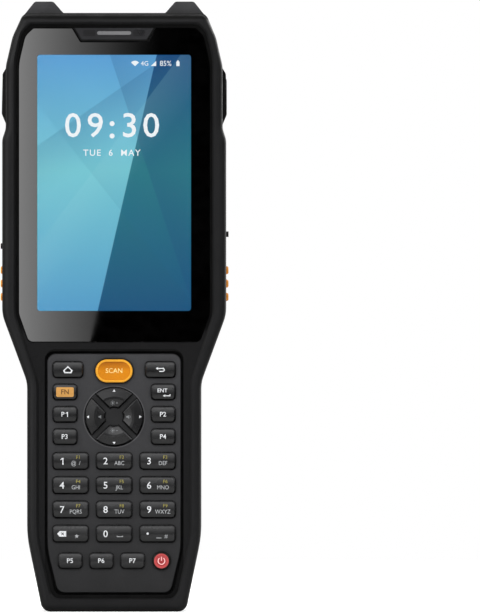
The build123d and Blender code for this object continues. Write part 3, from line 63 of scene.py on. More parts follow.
# ---- Materials -----------------------------------------------------------------------------------
class Paint:
    """A material being made: its node tree, its shader and the place on the part in metres."""

    def __init__(self, name):
        self.material = bpy.data.materials.new(name)
        self.material.use_nodes = True
        self.tree = self.material.node_tree
        self.shader = next(n for n in self.tree.nodes if n.type == "BSDF_PRINCIPLED")
        self.place = self.new("TexCoord").outputs["Object"]
        axes = self.new("SeparateXYZ", {"Vector": self.place}).outputs
        self.x, self.y, self.z = axes["X"], axes["Y"], axes["Z"]

    def new(self, kind, sockets=None, **settings):
        """A node with its settings, its sockets linked or filled."""
        node = self.tree.nodes.new("ShaderNode" + kind)
        for key, value in settings.items():
            setattr(node, key, value)
        for key, value in (sockets or {}).items():
            self.feed(node.inputs[key], value)
        return node

    def feed(self, socket, value):
        """Links a socket to another, or sets its value."""
        if isinstance(value, bpy.types.NodeSocket):
            self.tree.links.new(value, socket)
        else:
            socket.default_value = value

    def give(self, **values):
        """Sets the shader's own sockets, named with _ for spaces."""
        for key, value in values.items():
            self.feed(self.shader.inputs[key.replace("_", " ")], value)
        return self

    def noise(self, scale, detail=3.0, stretch=(1, 1, 1)):
        """Noise between 0 and 1, scale features to the metre."""
        spot = self.new("Mapping", {"Vector": self.place, "Scale": stretch}).outputs[0]
        return self.new("TexNoise", {"Vector": spot, "Scale": scale, "Detail": detail}).outputs["Fac"]

    def math(self, operation, a, b=0.0):
        """One step of arithmetic on sockets or numbers."""
        return self.new("Math", {0: a, 1: b}, operation=operation).outputs[0]

    def product(self, *values):
        """All the values multiplied with one another."""
        total = values[0]
        for value in values[1:]:
            total = self.math("MULTIPLY", total, value)
        return total

    def span(self, a, b):
        """How far off a place is, from its distances a and b along two square directions."""
        return self.math("SQRT", self.math("ADD", self.math("POWER", a, 2.0), self.math("POWER", b, 2.0)))

    def ramp(self, value, low, high, start=0.0, end=1.0):
        """start below low, end above high, and an even change between."""
        sockets = {"Value": value, "From Min": low, "From Max": high, "To Min": start, "To Max": end}
        return self.new("MapRange", sockets, clamp=True).outputs[0]

    def mix(self, share, a, b):
        """Colour a where share is 0, b where it is 1."""
        return self.new("Mix", {0: share, 6: a, 7: b}, data_type="RGBA").outputs[2]

    def stops(self, value, rows):
        """A colour that changes evenly between the rows' places."""
        node = self.new("ValToRGB", {"Fac": value})
        points = node.color_ramp.elements
        while len(points) < len(rows):
            points.new(0.5)
        for point, (place, *colour) in zip(points, rows):
            point.position, point.color = place, srgb(*colour)
        return node.outputs["Color"]

    def slab(self, value, low, high, soft=0.05 * MM):
        """1 between low and high, 0 outside."""
        rise = self.ramp(value, low - soft, low + soft)
        fall = self.ramp(value, high - soft, high + soft, 1.0, 0.0)
        return self.math("MULTIPLY", rise, fall)

    def tile(self, half_w, low, high, corner, x=0.0):
        """1 inside a rounded rectangle about x, from low to high, seen along Y."""
        soft = 0.04 * MM

        def beyond(place, middle, half):
            off = self.math("ABSOLUTE", self.math("SUBTRACT", place, middle))
            return self.math("MAXIMUM", self.math("SUBTRACT", off, half - corner), 0.0)

        across = beyond(self.x, x, half_w)
        up = beyond(self.z, (low + high) / 2, (high - low) / 2)
        far = self.span(across, up)
        return self.ramp(far, corner - soft, corner + soft, 1.0, 0.0)

    def edges(self, radius):
        """1 on edges, as if they were rubbed, 0 on flat faces."""
        bent = self.new("Bevel", {"Radius": radius}, samples=6).outputs[0]
        flat = self.new("NewGeometry").outputs["Normal"]
        same = self.new("VectorMath", {0: bent, 1: flat}, operation="DOT_PRODUCT").outputs["Value"]
        return self.ramp(same, 0.995, 0.86)

    def corners(self, reach, darkest=0.0):
        """Painted shade: 1 in the open, darkest in gaps narrower than reach."""
        open_share = self.new("AmbientOcclusion", {"Distance": reach}, samples=8).outputs["AO"]
        return self.ramp(open_share, 0.25, 0.95, darkest, 1.0)

    def surface(self, colour, rough, vary=0.06, mottle=0.12, rub=0.0, grain=(3500, 0.04), sheen=0.35):
        """Moulded plastic: mottled colour, uneven gloss, a fine grain and rubbed edges."""
        patch = self.noise(60, 4.0)
        speck = self.noise(2600, 2.0)
        tone = self.ramp(patch, 0.3, 0.7, -mottle, mottle)
        tone = self.math("ADD", tone, self.ramp(speck, 0.3, 0.7, -0.07, 0.07))
        tone = self.math("ADD", tone, 1.0)
        base = colour[:3] if isinstance(colour, tuple) else colour
        shade = self.new("VectorMath", {0: base, 3: tone}, operation="SCALE").outputs[0]
        gloss = self.math("ADD", self.ramp(self.noise(220, 3.0), 0.3, 0.7, -vary, vary), rough)
        if rub:
            worn = self.math("MULTIPLY", self.edges(0.5 * MM), self.ramp(self.noise(350, 3.0), 0.35, 0.6))
            worn = self.math("MULTIPLY", worn, rub)
            pale = self.new("VectorMath", {0: shade, 3: 1.9}, operation="SCALE").outputs[0]
            shade = self.mix(worn, shade, pale)
            gloss = self.math("SUBTRACT", gloss, self.math("MULTIPLY", worn, 0.15))
        height = self.noise(grain[0], 2.0)
        bump = self.new("Bump", {"Height": height, "Strength": 1.0, "Distance": grain[1] * MM}).outputs[0]
        return self.give(Base_Color=shade, Roughness=gloss, Normal=bump, Specular_IOR_Level=sheen)


def plain(name, colour, rough, **more):
    """Plastic of one colour."""
    return Paint(name).surface(colour, rough, **more).material


def plastic_with_gap_shade(name, colour, rough, reach=3 * MM, **more):
    """Plastic with painted shade in its slots, grooves and corners."""
    paint = Paint(name)
    # Painted shade where gaps are narrower than reach.
    shade = paint.mix(paint.corners(reach, -0.15), srgb(1, 1, 1), colour)
    return paint.surface(shade, rough, **more).material


def bumper_paint():
    """Soft rubber with a painted highlight along its crest, painted shade off it, and painted shade over its
    head, which is duller.
    """
    paint = Paint("bumper_rubber")
    crest_y, slope_y = -16.45 * MM, -15.5 * MM
    head_low, head_high = 200.9 * MM, 201.9 * MM
    # Painted highlight on the front crest, painted shade where the rubber turns back from it.
    shade = paint.mix(paint.ramp(paint.y, crest_y, slope_y), srgb(22, 22, 23), srgb(6, 6, 6))
    # Painted shade over the head.
    head = paint.ramp(paint.z, head_low, head_high)
    shade = paint.mix(head, shade, srgb(5, 5, 5))
    rough = paint.ramp(head, 0.0, 1.0, 0.5, 0.85)
    return paint.surface(shade, rough, sheen=0.14, grain=(3000, 0.05), rub=0.15).material


def shell_paint(spine_half, panel_foot, head, pane_foot, pane_top, pane_half):
    """The rear shell: painted shade on the flanks, in gaps and in the lower slot; paler guards and panels;
    black round the pane.
    """
    paint = Paint("rear_shell")
    step = 0.1 * MM
    outside = paint.ramp(paint.math("ABSOLUTE", paint.x), spine_half, spine_half + step)
    back = paint.ramp(paint.y, FLANK_Y - step / 2, FLANK_Y + step / 2)
    panel = paint.product(outside, back, paint.ramp(paint.z, panel_foot, panel_foot + step))
    pale = paint.math("MAXIMUM", panel, paint.ramp(paint.z, head, head + step))
    # Painted shade: the flanks beside the spine are darker.
    shade = paint.mix(outside, srgb(22, 22, 23), srgb(12, 12, 13))
    shade = paint.mix(pale, shade, srgb(52, 52, 54))
    # Painted shade in the shell's gaps and recesses.
    shade = paint.mix(paint.corners(4 * MM, -0.2), srgb(0, 0, 0), shade)
    groove_corner = 4.5 * MM
    groove = paint.tile(pane_half + GROOVE_AND_SHADOW, pane_foot - GROOVE_AND_SHADOW, pane_top + GROOVE_AND_SHADOW, groove_corner)
    shade = paint.mix(paint.math("MULTIPLY", groove, back), shade, srgb(1, 1, 1))
    # Painted shade: the lower strap slot is painted black.
    slot_w, slot_h, slot_z = STRAP_SLOT
    slot = paint.tile(slot_w / 2, slot_z - slot_h / 2, slot_z + slot_h / 2, slot_h / 2)
    shade = paint.mix(slot, shade, srgb(0, 0, 0))
    rough = paint.ramp(outside, 0.0, 1.0, 0.42, 0.6)
    return paint.surface(shade, rough, rub=0.3, grain=(2600, 0.06), sheen=0.4).material


def cover_paint(groove_foot, panel_top, panel_half):
    """The front cover, black in the groove round the glass, with a painted shadow, nearly black, round the
    keypad plate.
    """
    paint = Paint("front_shell")
    blend, over, corner = 3 * MM, 1.5 * MM, 3.6 * MM
    groove = paint.ramp(paint.z, groove_foot, groove_foot + blend)
    # Painted shadow round the keypad plate, reaching farther over its top than past its sides.
    painted_shadow_band = paint.tile(panel_half + GROOVE_AND_SHADOW, 0.0, panel_top + over, corner)
    painted_shadow_band = paint.math("MULTIPLY", painted_shadow_band, 0.85)
    dark = paint.math("MAXIMUM", groove, painted_shadow_band)
    shade = paint.mix(dark, srgb(13, 13, 14), srgb(1, 1, 1))
    rough = paint.ramp(dark, 0.0, 1.0, 0.5, 0.9)
    return paint.surface(shade, rough, grain=(2600, 0.05), sheen=0.12).material


def panel_paint(low, high, hub):
    """The keypad plate: painted shade towards its foot and in the gaps, with a painted highlight line round
    the ring.
    """
    paint = Paint("keypad_plate")
    # Painted shade: the plate darkens towards its foot.
    open_tone = paint.mix(paint.ramp(paint.z, low, high), srgb(32, 32, 33), srgb(58, 58, 60))
    inside, gap, line = (9.6 * MM, 9.9 * MM), (9.8 * MM, 10.2 * MM), (10.3 * MM, 10.55 * MM)
    far = paint.span(paint.x, paint.math("SUBTRACT", paint.z, hub))
    open_tone = paint.mix(paint.ramp(far, *inside), srgb(30, 30, 31), open_tone)
    # A painted highlight line round the ring, outside its black gap.
    open_tone = paint.mix(paint.slab(far, *line), open_tone, srgb(88, 88, 90))
    open_tone = paint.mix(paint.slab(far, *gap), open_tone, srgb(14, 14, 15))
    # Painted shade in the gaps round the keys.
    shade = paint.mix(paint.corners(2.2 * MM, -0.25), srgb(0, 0, 0), open_tone)
    return paint.surface(shade, 0.45, sheen=0.2, grain=(4200, 0.02)).material


def key_paint():
    """Key caps: painted light on their upper slopes, which are a little duller, and painted shade towards the
    plate.
    """
    paint = Paint("key_cap")
    facing = paint.new("SeparateXYZ", {"Vector": paint.new("NewGeometry").outputs["Normal"]}).outputs["Z"]
    # Painted shade darkens the caps' sides towards the plate between these levels.
    side_front, side_back = -15.85 * MM, -15.4 * MM
    foot = paint.ramp(paint.y, side_front, side_back)
    # Painted light: caps are paler where their faces turn upward.
    cap_painted_light = paint.mix(paint.ramp(facing, -0.2, 0.26), srgb(4, 4, 4), srgb(50, 50, 51))
    shade = paint.mix(foot, cap_painted_light, srgb(4, 4, 4))
    rough = paint.ramp(facing, -0.1, 0.2, 0.16, 0.28)
    return paint.surface(shade, rough, sheen=0.45, grain=(4200, 0.015), rub=0.6).material


def rimmed_paint(name, key, rim, face, head_tone, edge):
    """A key with a bright rim inside a painted shadow at its edge, and a face that changes tone towards its
    head.
    """
    paint = Paint(name)
    low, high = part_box(key)
    x, half = (low.x + high.x) / 2, (high.x - low.x) / 2 - SKIRT
    foot, head = low.z + SKIRT, high.z - SKIRT

    def inset(by):
        return paint.tile(half - by, foot + by, head - by, (head - foot) / 2 - by, x)

    rim_wide, blend_end = 0.75 * MM, head - 1.0 * MM
    # The scan key's face darkens towards its head: painted shade under its rim.
    face = paint.mix(paint.ramp(paint.z, (low.z + high.z) / 2, blend_end), face, head_tone)
    # A painted shadow round the key's edge.
    shade = paint.mix(inset(edge), srgb(16, 9, 5), rim)
    shade = paint.mix(inset(edge + rim_wide), shade, face)
    return paint.surface(shade, 0.34, mottle=0.05, sheen=0.3, grain=(4000, 0.01)).material


def glass_paint(low, high, half):
    """Black-printed glass with a clear window over the picture."""
    paint = Paint("cover_glass")
    window_corner = 1.0 * MM
    window = paint.tile(half, low, high, window_corner)
    smudge = paint.ramp(paint.noise(45, 4.0), 0.45, 0.75, 0.02, 0.09)
    print_tone = paint.mix(paint.ramp(paint.noise(300, 2.0), 0.4, 0.6), srgb(1, 1, 1), srgb(3, 3, 3))
    paint.give(Base_Color=print_tone, Roughness=smudge, Alpha=paint.ramp(window, 0, 1, 1.0, 0.05))
    return paint.material


def picture_paint(low, high, half):
    """The lit picture: a soft blue to teal sweep with broad folded planes, and a painted reflection left of a
    slanting edge.
    """
    paint = Paint("picture")
    up = paint.ramp(paint.z, low, high)
    across = paint.ramp(paint.x, -half, half)
    light = paint.stops(up, [(0.0, 84, 160, 206), (0.55, 122, 206, 218), (1.0, 92, 164, 220)])
    dark = paint.stops(up, [(0.0, 18, 84, 128), (0.55, 38, 122, 136), (1.0, 24, 80, 132)])

    def right_of(slope, offset):
        """How far a place lies to the right of a slanting line."""
        return paint.math("SUBTRACT", across, paint.math("ADD", paint.math("MULTIPLY", up, slope), offset))

    # Painted reflection: the picture is paler left of the slanting edge.
    shade = paint.mix(paint.ramp(right_of(*GLARE), 0.0, 0.004), light, dark)

    # Folded planes: slope and offset of each crease, width of its shadow, tint and share.
    folds = (
        (-0.55, 1.02, 0.45, srgb(16, 66, 122), 0.26),
        (1.25, -0.32, 0.30, srgb(170, 236, 242), 0.10),
        (-1.3, 1.05, 0.40, srgb(16, 104, 150), 0.12),
        (2.4, -1.55, 0.50, srgb(10, 56, 112), 0.22),
    )
    for slope, offset, soft, tint, share in folds:
        line = right_of(slope, offset)
        fade = paint.product(paint.ramp(line, 0.0, 0.004), paint.ramp(line, 0.0, soft, share, 0.0))
        shade = paint.mix(fade, shade, tint)
    row_pitch = 0.109 * MM
    rows = paint.math("SINE", paint.math("MULTIPLY", paint.z, 2 * math.pi / row_pitch))
    shade = paint.mix(paint.ramp(rows, -1.0, 1.0, 0.0, 0.03), shade, srgb(0, 20, 40))
    paint.give(Base_Color=srgb(4, 6, 8), Roughness=0.25, Emission_Color=shade, Emission_Strength=1.0)
    return paint.material


def rear_glass_paint(top):
    """Glossy black pane with its yellow head."""
    paint = Paint("rear_glass")
    band_foot, soft = top - 12.6 * MM, 0.05 * MM
    band = paint.ramp(paint.z, band_foot - soft, band_foot + soft)
    warm = paint.ramp(paint.z, top - 12 * MM, top)
    yellow = paint.mix(warm, srgb(232, 206, 28), srgb(238, 216, 40))
    ink = paint.mix(paint.ramp(paint.noise(300, 2.0), 0.4, 0.6), srgb(1, 1, 1), srgb(3, 3, 3))
    shade = paint.mix(band, ink, yellow)
    smudge = paint.ramp(paint.noise(60, 4.0), 0.4, 0.75, 0.03, 0.1)
    return paint.give(Base_Color=shade, Roughness=smudge).material


def rings_paint(name, x, z, rows, rough):
    """A round part with tones that change from its centre outwards, rows in shares of 3 mm."""
    paint = Paint(name)
    share_of = 3 * MM
    far = paint.span(paint.math("SUBTRACT", paint.x, x), paint.math("SUBTRACT", paint.z, z))
    shade = paint.stops(paint.math("DIVIDE", far, share_of), rows)
    return paint.surface(shade, rough, vary=0.03, mottle=0.03, grain=(4000, 0.004), sheen=0.6).material


def grille_paint(z, foot):
    """Earpiece trim with a field of fine holes on each side of the slot and a black edge."""
    paint = Paint("earpiece_trim")
    pitch = 0.62 * MM
    row = paint.math("DIVIDE", paint.math("SUBTRACT", paint.z, z), pitch)
    shift = paint.math("MULTIPLY", paint.math("FLOORED_MODULO", paint.math("FLOOR", row), 2.0), 0.5)
    column = paint.math("ADD", paint.math("DIVIDE", paint.x, pitch), shift)
    off = [paint.math("SUBTRACT", paint.math("FRACT", v), 0.5) for v in (row, column)]
    far = paint.span(*off)
    hole = paint.ramp(far, 0.34, 0.4, 1.0, 0.0)
    field_near, field_far, field_half = 6.5 * MM, 10.4 * MM, 0.95 * MM
    field = paint.slab(paint.math("ABSOLUTE", paint.x), field_near, field_far)
    field = paint.math("MULTIPLY", field, paint.slab(paint.z, z - field_half, z + field_half))
    hole = paint.math("MULTIPLY", hole, field)

    # The black edge follows the trim's level foot and its two leaning sides.
    half_foot, slant = 11.4 * MM, 0.596
    square_on = 0.86  # 1 / hypot(1, slant), rounded
    edge_start, edge_end = 0.55 * MM, 0.75 * MM
    up = paint.math("SUBTRACT", paint.z, foot)
    lean = paint.math("MULTIPLY", up, slant)
    inset = paint.math("SUBTRACT", paint.math("ADD", lean, half_foot), paint.math("ABSOLUTE", paint.x))
    inset = paint.math("MINIMUM", paint.math("MULTIPLY", inset, square_on), up)
    shade = paint.mix(hole, srgb(40, 40, 42), srgb(4, 4, 4))
    shade = paint.mix(paint.ramp(inset, edge_start, edge_end), srgb(1, 1, 1), shade)
    return paint.surface(shade, 0.3, grain=(4000, 0.01), sheen=0.2).material


def scan_glass_paint():
    """Dark scanning window, with tones for the parts that show behind it and painted shade in a slot."""
    paint = Paint("scan_glass")
    shade = paint.mix(paint.ramp(paint.noise(300, 2.0), 0.4, 0.6), srgb(26, 22, 23), srgb(32, 27, 28))
    foot, head, corner = 197.4, 203.2, 0.3
    # Half width, lower and upper end, middle and tone of each part; the third, black, is painted shade in a
    # slot.
    parts = ((2.9, 201.1, head, 12.4, 74), (3.0, foot, head, -10.7, 66), (0.7, foot, head, 8.4, 3))
    for half_w, low, high, x, tone in parts:
        part = paint.tile(half_w * MM, low * MM, high * MM, corner * MM, x * MM)
        shade = paint.mix(part, shade, srgb(tone, tone, tone))
    return paint.surface(shade, 0.12, vary=0.03, mottle=0.03, grain=(4000, 0.0), sheen=0.5).material


def metal(name, colour, rough):
    """Metal, paler along its rubbed edges."""
    paint = Paint(name).surface(colour, rough, grain=(5000, 0.01), rub=0.6, sheen=0.5)
    return paint.give(Metallic=0.85).material


lcd_low, lcd_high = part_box("display_panel")
border = 1.8 * MM  # module frame round the picture
picture_low, picture_high = lcd_low.z + border, lcd_high.z - border
picture_half = lcd_high.x - border
pane_low, pane_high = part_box("rear_window")
ear_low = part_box("earpiece_grille")[0]
glass_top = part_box("touch_glass")[1].z
earpiece_z = glass_top - 1.7 * MM  # the slot's middle
plate_low, plate_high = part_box("keypad_panel")
hub_z = (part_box("key_nav_up")[1].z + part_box("key_nav_down")[0].z) / 2
spine_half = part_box("battery_door")[1].x
shell_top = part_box("rear_cover")[1].z
camera_low, camera_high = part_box("camera_module")
flash_low, flash_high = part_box("flash_led")
lens_x, lens_z = (camera_low.x + camera_high.x) / 2, (camera_low.z + camera_high.z) / 2
flash_x = (flash_low.x + flash_high.x) / 2

paints = {
    "bumper_rubber": bumper_paint(),
    "casing": plastic_with_gap_shade("casing", srgb(21, 21, 22), 0.46, rub=0.4, grain=(2600, 0.06), sheen=0.4),
    "cover_glass": glass_paint(picture_low, picture_high, picture_half),
    "display": picture_paint(picture_low, picture_high, picture_half),
    "grille": grille_paint(earpiece_z, ear_low.z),
    "keypad_plate": panel_paint(plate_low.z, plate_high.z, hub_z),
    "key_plastic": key_paint(),
    "scan_key_orange": rimmed_paint("scan_key_orange", "key_scan", srgb(240, 170, 50), srgb(214, 132, 12),
                                    srgb(168, 94, 6), 0.15 * MM),
    "power_key_plastic": rimmed_paint("power_key_plastic", "key_power", srgb(196, 78, 78), srgb(168, 52, 54),
                                      srgb(184, 74, 76), 0.5 * MM),
    "membrane": plain("membrane", srgb(70, 70, 72), 0.7),
    "circuit_board": plain("circuit_board", srgb(24, 84, 52), 0.35),
    "magnesium": metal("magnesium", srgb(170, 172, 174), 0.45),
    "rear_glass": rear_glass_paint(pane_high.z),
    "lens_glass": rings_paint("lens_glass", lens_x, lens_z, [
        (0.0, 34, 38, 44), (0.2, 60, 64, 70), (0.26, 16, 16, 18), (0.45, 30, 31, 34), (0.5, 120, 122, 126),
        (0.62, 96, 98, 102), (0.66, 30, 30, 32), (0.8, 64, 66, 68)], 0.12),
    "flash_lens": rings_paint("flash_lens", flash_x, lens_z, [
        (0.0, 255, 250, 214), (0.3, 232, 224, 160), (0.5, 250, 248, 226), (0.66, 214, 212, 196),
        (0.72, 120, 120, 116), (0.8, 70, 70, 70)], 0.25),
    "scan_glass": scan_glass_paint(),
    "scanner_body": plain("scanner_body", srgb(44, 44, 46), 0.5),
    "speaker_body": plain("speaker_body", srgb(30, 30, 31), 0.6),
    "battery_skin": plain("battery_skin", srgb(58, 58, 62), 0.4),
    "latch_plastic": plain("latch_plastic", srgb(28, 28, 29), 0.42, rub=0.7, sheen=0.45),
    "orange_plastic": plain("orange_plastic", srgb(232, 146, 34), 0.42, mottle=0.05, rub=0.25, sheen=0.4),
    "side_key_plastic": plain("side_key_plastic", srgb(104, 105, 108), 0.42, rub=0.4),
    "cover_rubber": plain("cover_rubber", srgb(24, 24, 25), 0.6, rub=0.3),
    "socket_steel": metal("socket_steel", srgb(186, 188, 190), 0.3),
    "screw_steel": metal("screw_steel", srgb(60, 60, 64), 0.36),
}
own = {
    "rear_cover": shell_paint(spine_half, shell_top - PALE_SIDES, shell_top - PALE_HEAD,
                              pane_low.z, pane_high.z, pane_high.x),
    "front_cover": cover_paint(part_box("touch_glass")[0].z + 2 * MM, plate_high.z, plate_high.x),
}
slots = {row["node"]: row["material_slot"] for row in frame["record"]["subparts"]}
for name, node in nodes.items():
    node.data.materials.clear()
    node.data.materials.append(own.get(name) or paints[slots[name]])


# ---- Flat inks -----------------------------------------------------------------------------------
FRONT = Matrix(((1, 0, 0, 0), (0, 0, -1, 0), (0, 1, 0, 0), (0, 0, 0, 1)))
INK = 0.02 * MM  # thickness of a print
CAPITAL = 0.73  # height of a capital as a share of the font's size

# Colour, roughness and mottle of each ink.
ink_rows = {
    "white": ((226, 228, 230), 0.5, 0.04),
    "grey": ((176, 178, 180), 0.5, 0.04),
    "dim": ((120, 122, 124), 0.5, 0.04),
    "olive": ((150, 140, 62), 0.5, 0.04),
    "cream": ((255, 226, 150), 0.5, 0.04),
    "amber": ((204, 150, 78), 0.42, 0.05),
    "brown": ((96, 62, 22), 0.5, 0.05),
    "rose": ((255, 206, 206), 0.4, 0.04),
}
inks = {}
for name, (colour, rough, mottle) in ink_rows.items():
    inks[name] = plain("ink_" + name, srgb(*colour), rough, mottle=mottle, grain=(3000, 0.01))


def lit_ink():
    """White light of the screen's own figures."""
    paint = Paint("ink_lit")
    shade = paint.mix(paint.ramp(paint.noise(500, 2.0), 0.3, 0.7), srgb(240, 250, 255), srgb(252, 254, 255))
    paint.give(Base_Color=srgb(8, 8, 8), Roughness=0.3, Emission_Color=shade, Emission_Strength=1.0)
    return paint.material


inks["lit"] = lit_ink()


def words(body, size, x, z, spacing=1.0, weight=0.0, slim=1.0):
    """Lettering as a flat curve, its capitals size mm high and centred on x, z."""
    curve = bpy.data.curves.new("words", "FONT")
    curve.body = body
    curve.size = size * MM / CAPITAL
    curve.align_x, curve.align_y = "CENTER", "CENTER"
    curve.space_character = spacing
    curve.offset = weight * MM
    curve.resolution_u = 3
    return curve, Matrix.Translation((x * MM, z * MM, 0)) @ Matrix.Diagonal((slim, 1, 1, 1))


def outline(loops, x=0.0, z=0.0):
    """Closed outlines in mm as one flat curve; a loop inside another is a hole."""
    curve = bpy.data.curves.new("outline", "CURVE")
    curve.dimensions = "2D"
    curve.fill_mode = "BOTH"
    for loop in loops:
        spline = curve.splines.new("POLY")
        spline.points.add(len(loop) - 1)
        for point, (a, b) in zip(spline.points, loop):
            point.co = (a * MM, b * MM, 0, 1)
        spline.use_cyclic_u = True
    return curve, Matrix.Translation((x * MM, z * MM, 0))


def arc(r, start, end, steps=24, x=0.0, z=0.0):
    """Points on a circle, from start to end in degrees."""
    turns = [math.radians(start + (end - start) * n / steps) for n in range(steps + 1)]
    return [(x + r * math.cos(t), z + r * math.sin(t)) for t in turns]


def tile(w, h, r, x=0.0, z=0.0):
    """A rounded rectangle's loop."""
    loop = []
    for n, (a, b) in enumerate(((1, 1), (-1, 1), (-1, -1), (1, -1))):
        loop += arc(r, 90 * n, 90 * n + 90, 5, x + a * (w / 2 - r), z + b * (h / 2 - r))
    return loop


def stroke(points, wide):
    """The loop round an open line of even width, with mitred corners."""
    left, right = [], []
    for n, here in enumerate(points):
        before = Vector(here) - Vector(points[n - 1]) if n else None
        after = Vector(points[n + 1]) - Vector(here) if n + 1 < len(points) else None
        ways = [w.normalized() for w in (before, after) if w is not None]
        normals = [Vector((-w.y, w.x)) for w in ways]
        mean = sum(normals, Vector((0, 0))).normalized()
        reach = wide / 2 / max(0.4, mean.dot(normals[0]))
        left.append((here[0] + mean.x * reach, here[1] + mean.y * reach))
        right.append((here[0] - mean.x * reach, here[1] - mean.y * reach))
    return left + right[::-1]


def one(size, x, z, wide):
    """The figure 1 with its flag, size mm high."""
    tall, flag = size / 2, size * 0.26
    tip_x, tip_z = -wide / 2 - flag, tall - flag * 0.72
    stem = [(-wide / 2, -tall), (wide / 2, -tall), (wide / 2, tall), (-wide / 2, tall)]
    nose = [(tip_x, tip_z), (tip_x, tip_z - wide * 0.95), (-wide / 2, tall - wide * 1.05)]
    return outline([stem + nose], x, z)


def sliced(mesh, step=0.5 * MM):
    """Cuts a flat mesh along a grid, so that it can follow a curved face."""
    cuts = bmesh.new()
    cuts.from_mesh(mesh)
    for axis in (0, 1):
        places = [v.co[axis] for v in cuts.verts]
        for n in range(math.ceil(min(places) / step), math.floor(max(places) / step) + 1):
            point, normal = Vector((0, 0, 0)), Vector((0, 0, 0))
            point[axis], normal[axis] = n * step, 1
            whole = cuts.verts[:] + cuts.edges[:] + cuts.faces[:]
            bmesh.ops.bisect_plane(cuts, geom=whole, plane_co=point, plane_no=normal)
    cuts.to_mesh(mesh)
    cuts.free()


def print_on(name, body, ink, y, drawings, deep=INK, turn=FRONT, relief=None):
    """One thin piece from flat drawings, standing deep proud of the face at y, which relief bends."""
    vertices, faces = [], []
    for curve, place in drawings:
        curve.extrude = deep / 2
        holder = bpy.data.objects.new("drawing", curve)
        bpy.context.scene.collection.objects.link(holder)
        bpy.context.view_layer.update()
        flat = bpy.data.meshes.new_from_object(holder.evaluated_get(bpy.context.evaluated_depsgraph_get()))
        flat.transform(place)
        if relief:
            sliced(flat)
        base = len(vertices)
        lift = y - deep / 2 * (1 if turn is FRONT else -1)
        for point in [turn @ v.co for v in flat.vertices]:
            vertices.append(point + Vector((0, lift + (relief(point.x, point.z) if relief else 0), 0)))
        faces += [[base + i for i in p.vertices] for p in flat.polygons]
        bpy.data.objects.remove(holder)
        bpy.data.meshes.remove(flat)
        bpy.data.curves.remove(curve)
    mesh = bpy.data.meshes.new(name)
    mesh.from_pydata(vertices, [], faces)
    mesh.materials.append(inks[ink] if isinstance(ink, str) else ink)
    piece = bpy.data.objects.new(name, mesh)
    bpy.context.scene.collection.objects.link(piece)
    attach(piece, body)
    return piece


# ---- Key legends ---------------------------------------------------------------------------------
key_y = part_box("key_5")[0].y
CROWN, RIM = 0.35 * MM, 0.15 * MM  # the arch of a key and the height of its rim
HUB_R, CREST_R, RING_R = 3.2 * MM, 6.5 * MM, 9.9 * MM  # ring of keys: hub, crest and outer radius
HUB_DROP, RING_DROP = 0.55 * MM, 0.3 * MM  # from the ring's crest to its hub and to its outside
DIGIT, LETTER, FUNCTION, WORD = 2.4, 1.45, 1.2, 1.65  # heights of the lettering in mm


def middle(node):
    """The middle of a piece in mm, across and up."""
    low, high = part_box(node)
    return (low.x + high.x) / 2 / MM, (low.z + high.z) / 2 / MM


def crown(key):
    """How far a key's arched top lies behind its crest."""
    low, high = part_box(key)
    middle_z, half = (low.z + high.z) / 2, (high.z - low.z) / 2 - SKIRT
    return lambda x, z: CROWN * ((z - middle_z) / half) ** 2


def dish(x, z):
    """The same for the ring's two sloping bands."""
    far = math.hypot(x, z - nav_z * MM)
    if far < CREST_R:
        return HUB_DROP * (CREST_R - far) / (CREST_R - HUB_R)
    return RING_DROP * (far - CREST_R) / (RING_R - CREST_R)


def legend(key, ink, drawings, tag="", relief=None):
    """Print on a key, placed from the key's middle."""
    x, z = middle(key)
    spot = Matrix.Translation((x * MM, z * MM, 0))
    name = "legend_" + key[4:] + ("_" + tag if tag else "")
    placed = [(curve, spot @ place) for curve, place in drawings]
    print_on(name, key, ink, key_y, placed, relief=relief or crown(key))


def sunk(x, z):
    """The face inside the raised rim of the scan and power keys."""
    return RIM


key_letters = ("@  /", "ABC", "DEF", "GHI", "JKL", "MNO", "PQRS", "TUV", "WXYZ")
for digit, letters in zip("123456789", key_letters):
    key = "key_" + digit
    if digit == "1":
        figure = one(DIGIT, -2.6, -0.1, 0.38)
    else:
        figure = words(digit, DIGIT, -2.9, -0.1, weight=0.02)
    legend(key, "white", [figure])
    wide = 1.8 if len(letters) < 4 else 1.75
    legend(key, "grey", [words(letters, LETTER, wide, -0.75, slim=0.88)], "letters")
    legend(key, "olive", [words("F" + digit, FUNCTION, 2.6, 1.25)], "function")
for n in range(1, 8):
    if n == 1:
        figure = [words("P", WORD, -0.75, 0, weight=0.02), one(WORD, 0.85, 0, 0.3)]
    else:
        figure = [words(f"P{n}", WORD, -0.1, 0, weight=0.02)]
    legend(f"key_p{n}", "white", figure)

star = [(r * math.cos(math.radians(90 + 36 * n)), r * math.sin(math.radians(90 + 36 * n)))
        for n, r in enumerate([0.8, 0.34] * 5)]
erase = [(-4.6, 0), (-3.7, 0.95), (-1.5, 0.95), (-1.5, -0.95), (-3.7, -0.95)]
mark = [(-0.16, 0), (-0.5, 0.34), (-0.34, 0.5), (0, 0.16), (0.34, 0.5), (0.5, 0.34),
        (0.16, 0), (0.5, -0.34), (0.34, -0.5), (0, -0.16), (-0.34, -0.5), (-0.5, -0.34)]
legend("key_star", "white", [outline([erase, [(a - 2.7, b) for a, b in mark]])])
legend("key_star", "grey", [outline([star], 2.1, -0.8)], "star")
legend("key_0", "white", [words("0", DIGIT, -2.9, -0.1, weight=0.02)])
space = stroke([(1.0, -0.6), (1.0, -0.95), (2.9, -0.95), (2.9, -0.6)], 0.22)
legend("key_0", "grey", [outline([space])], "space")
legend("key_hash", "white", [outline([arc(0.4, 0, 350, 16)], -3.4, 0.1)])
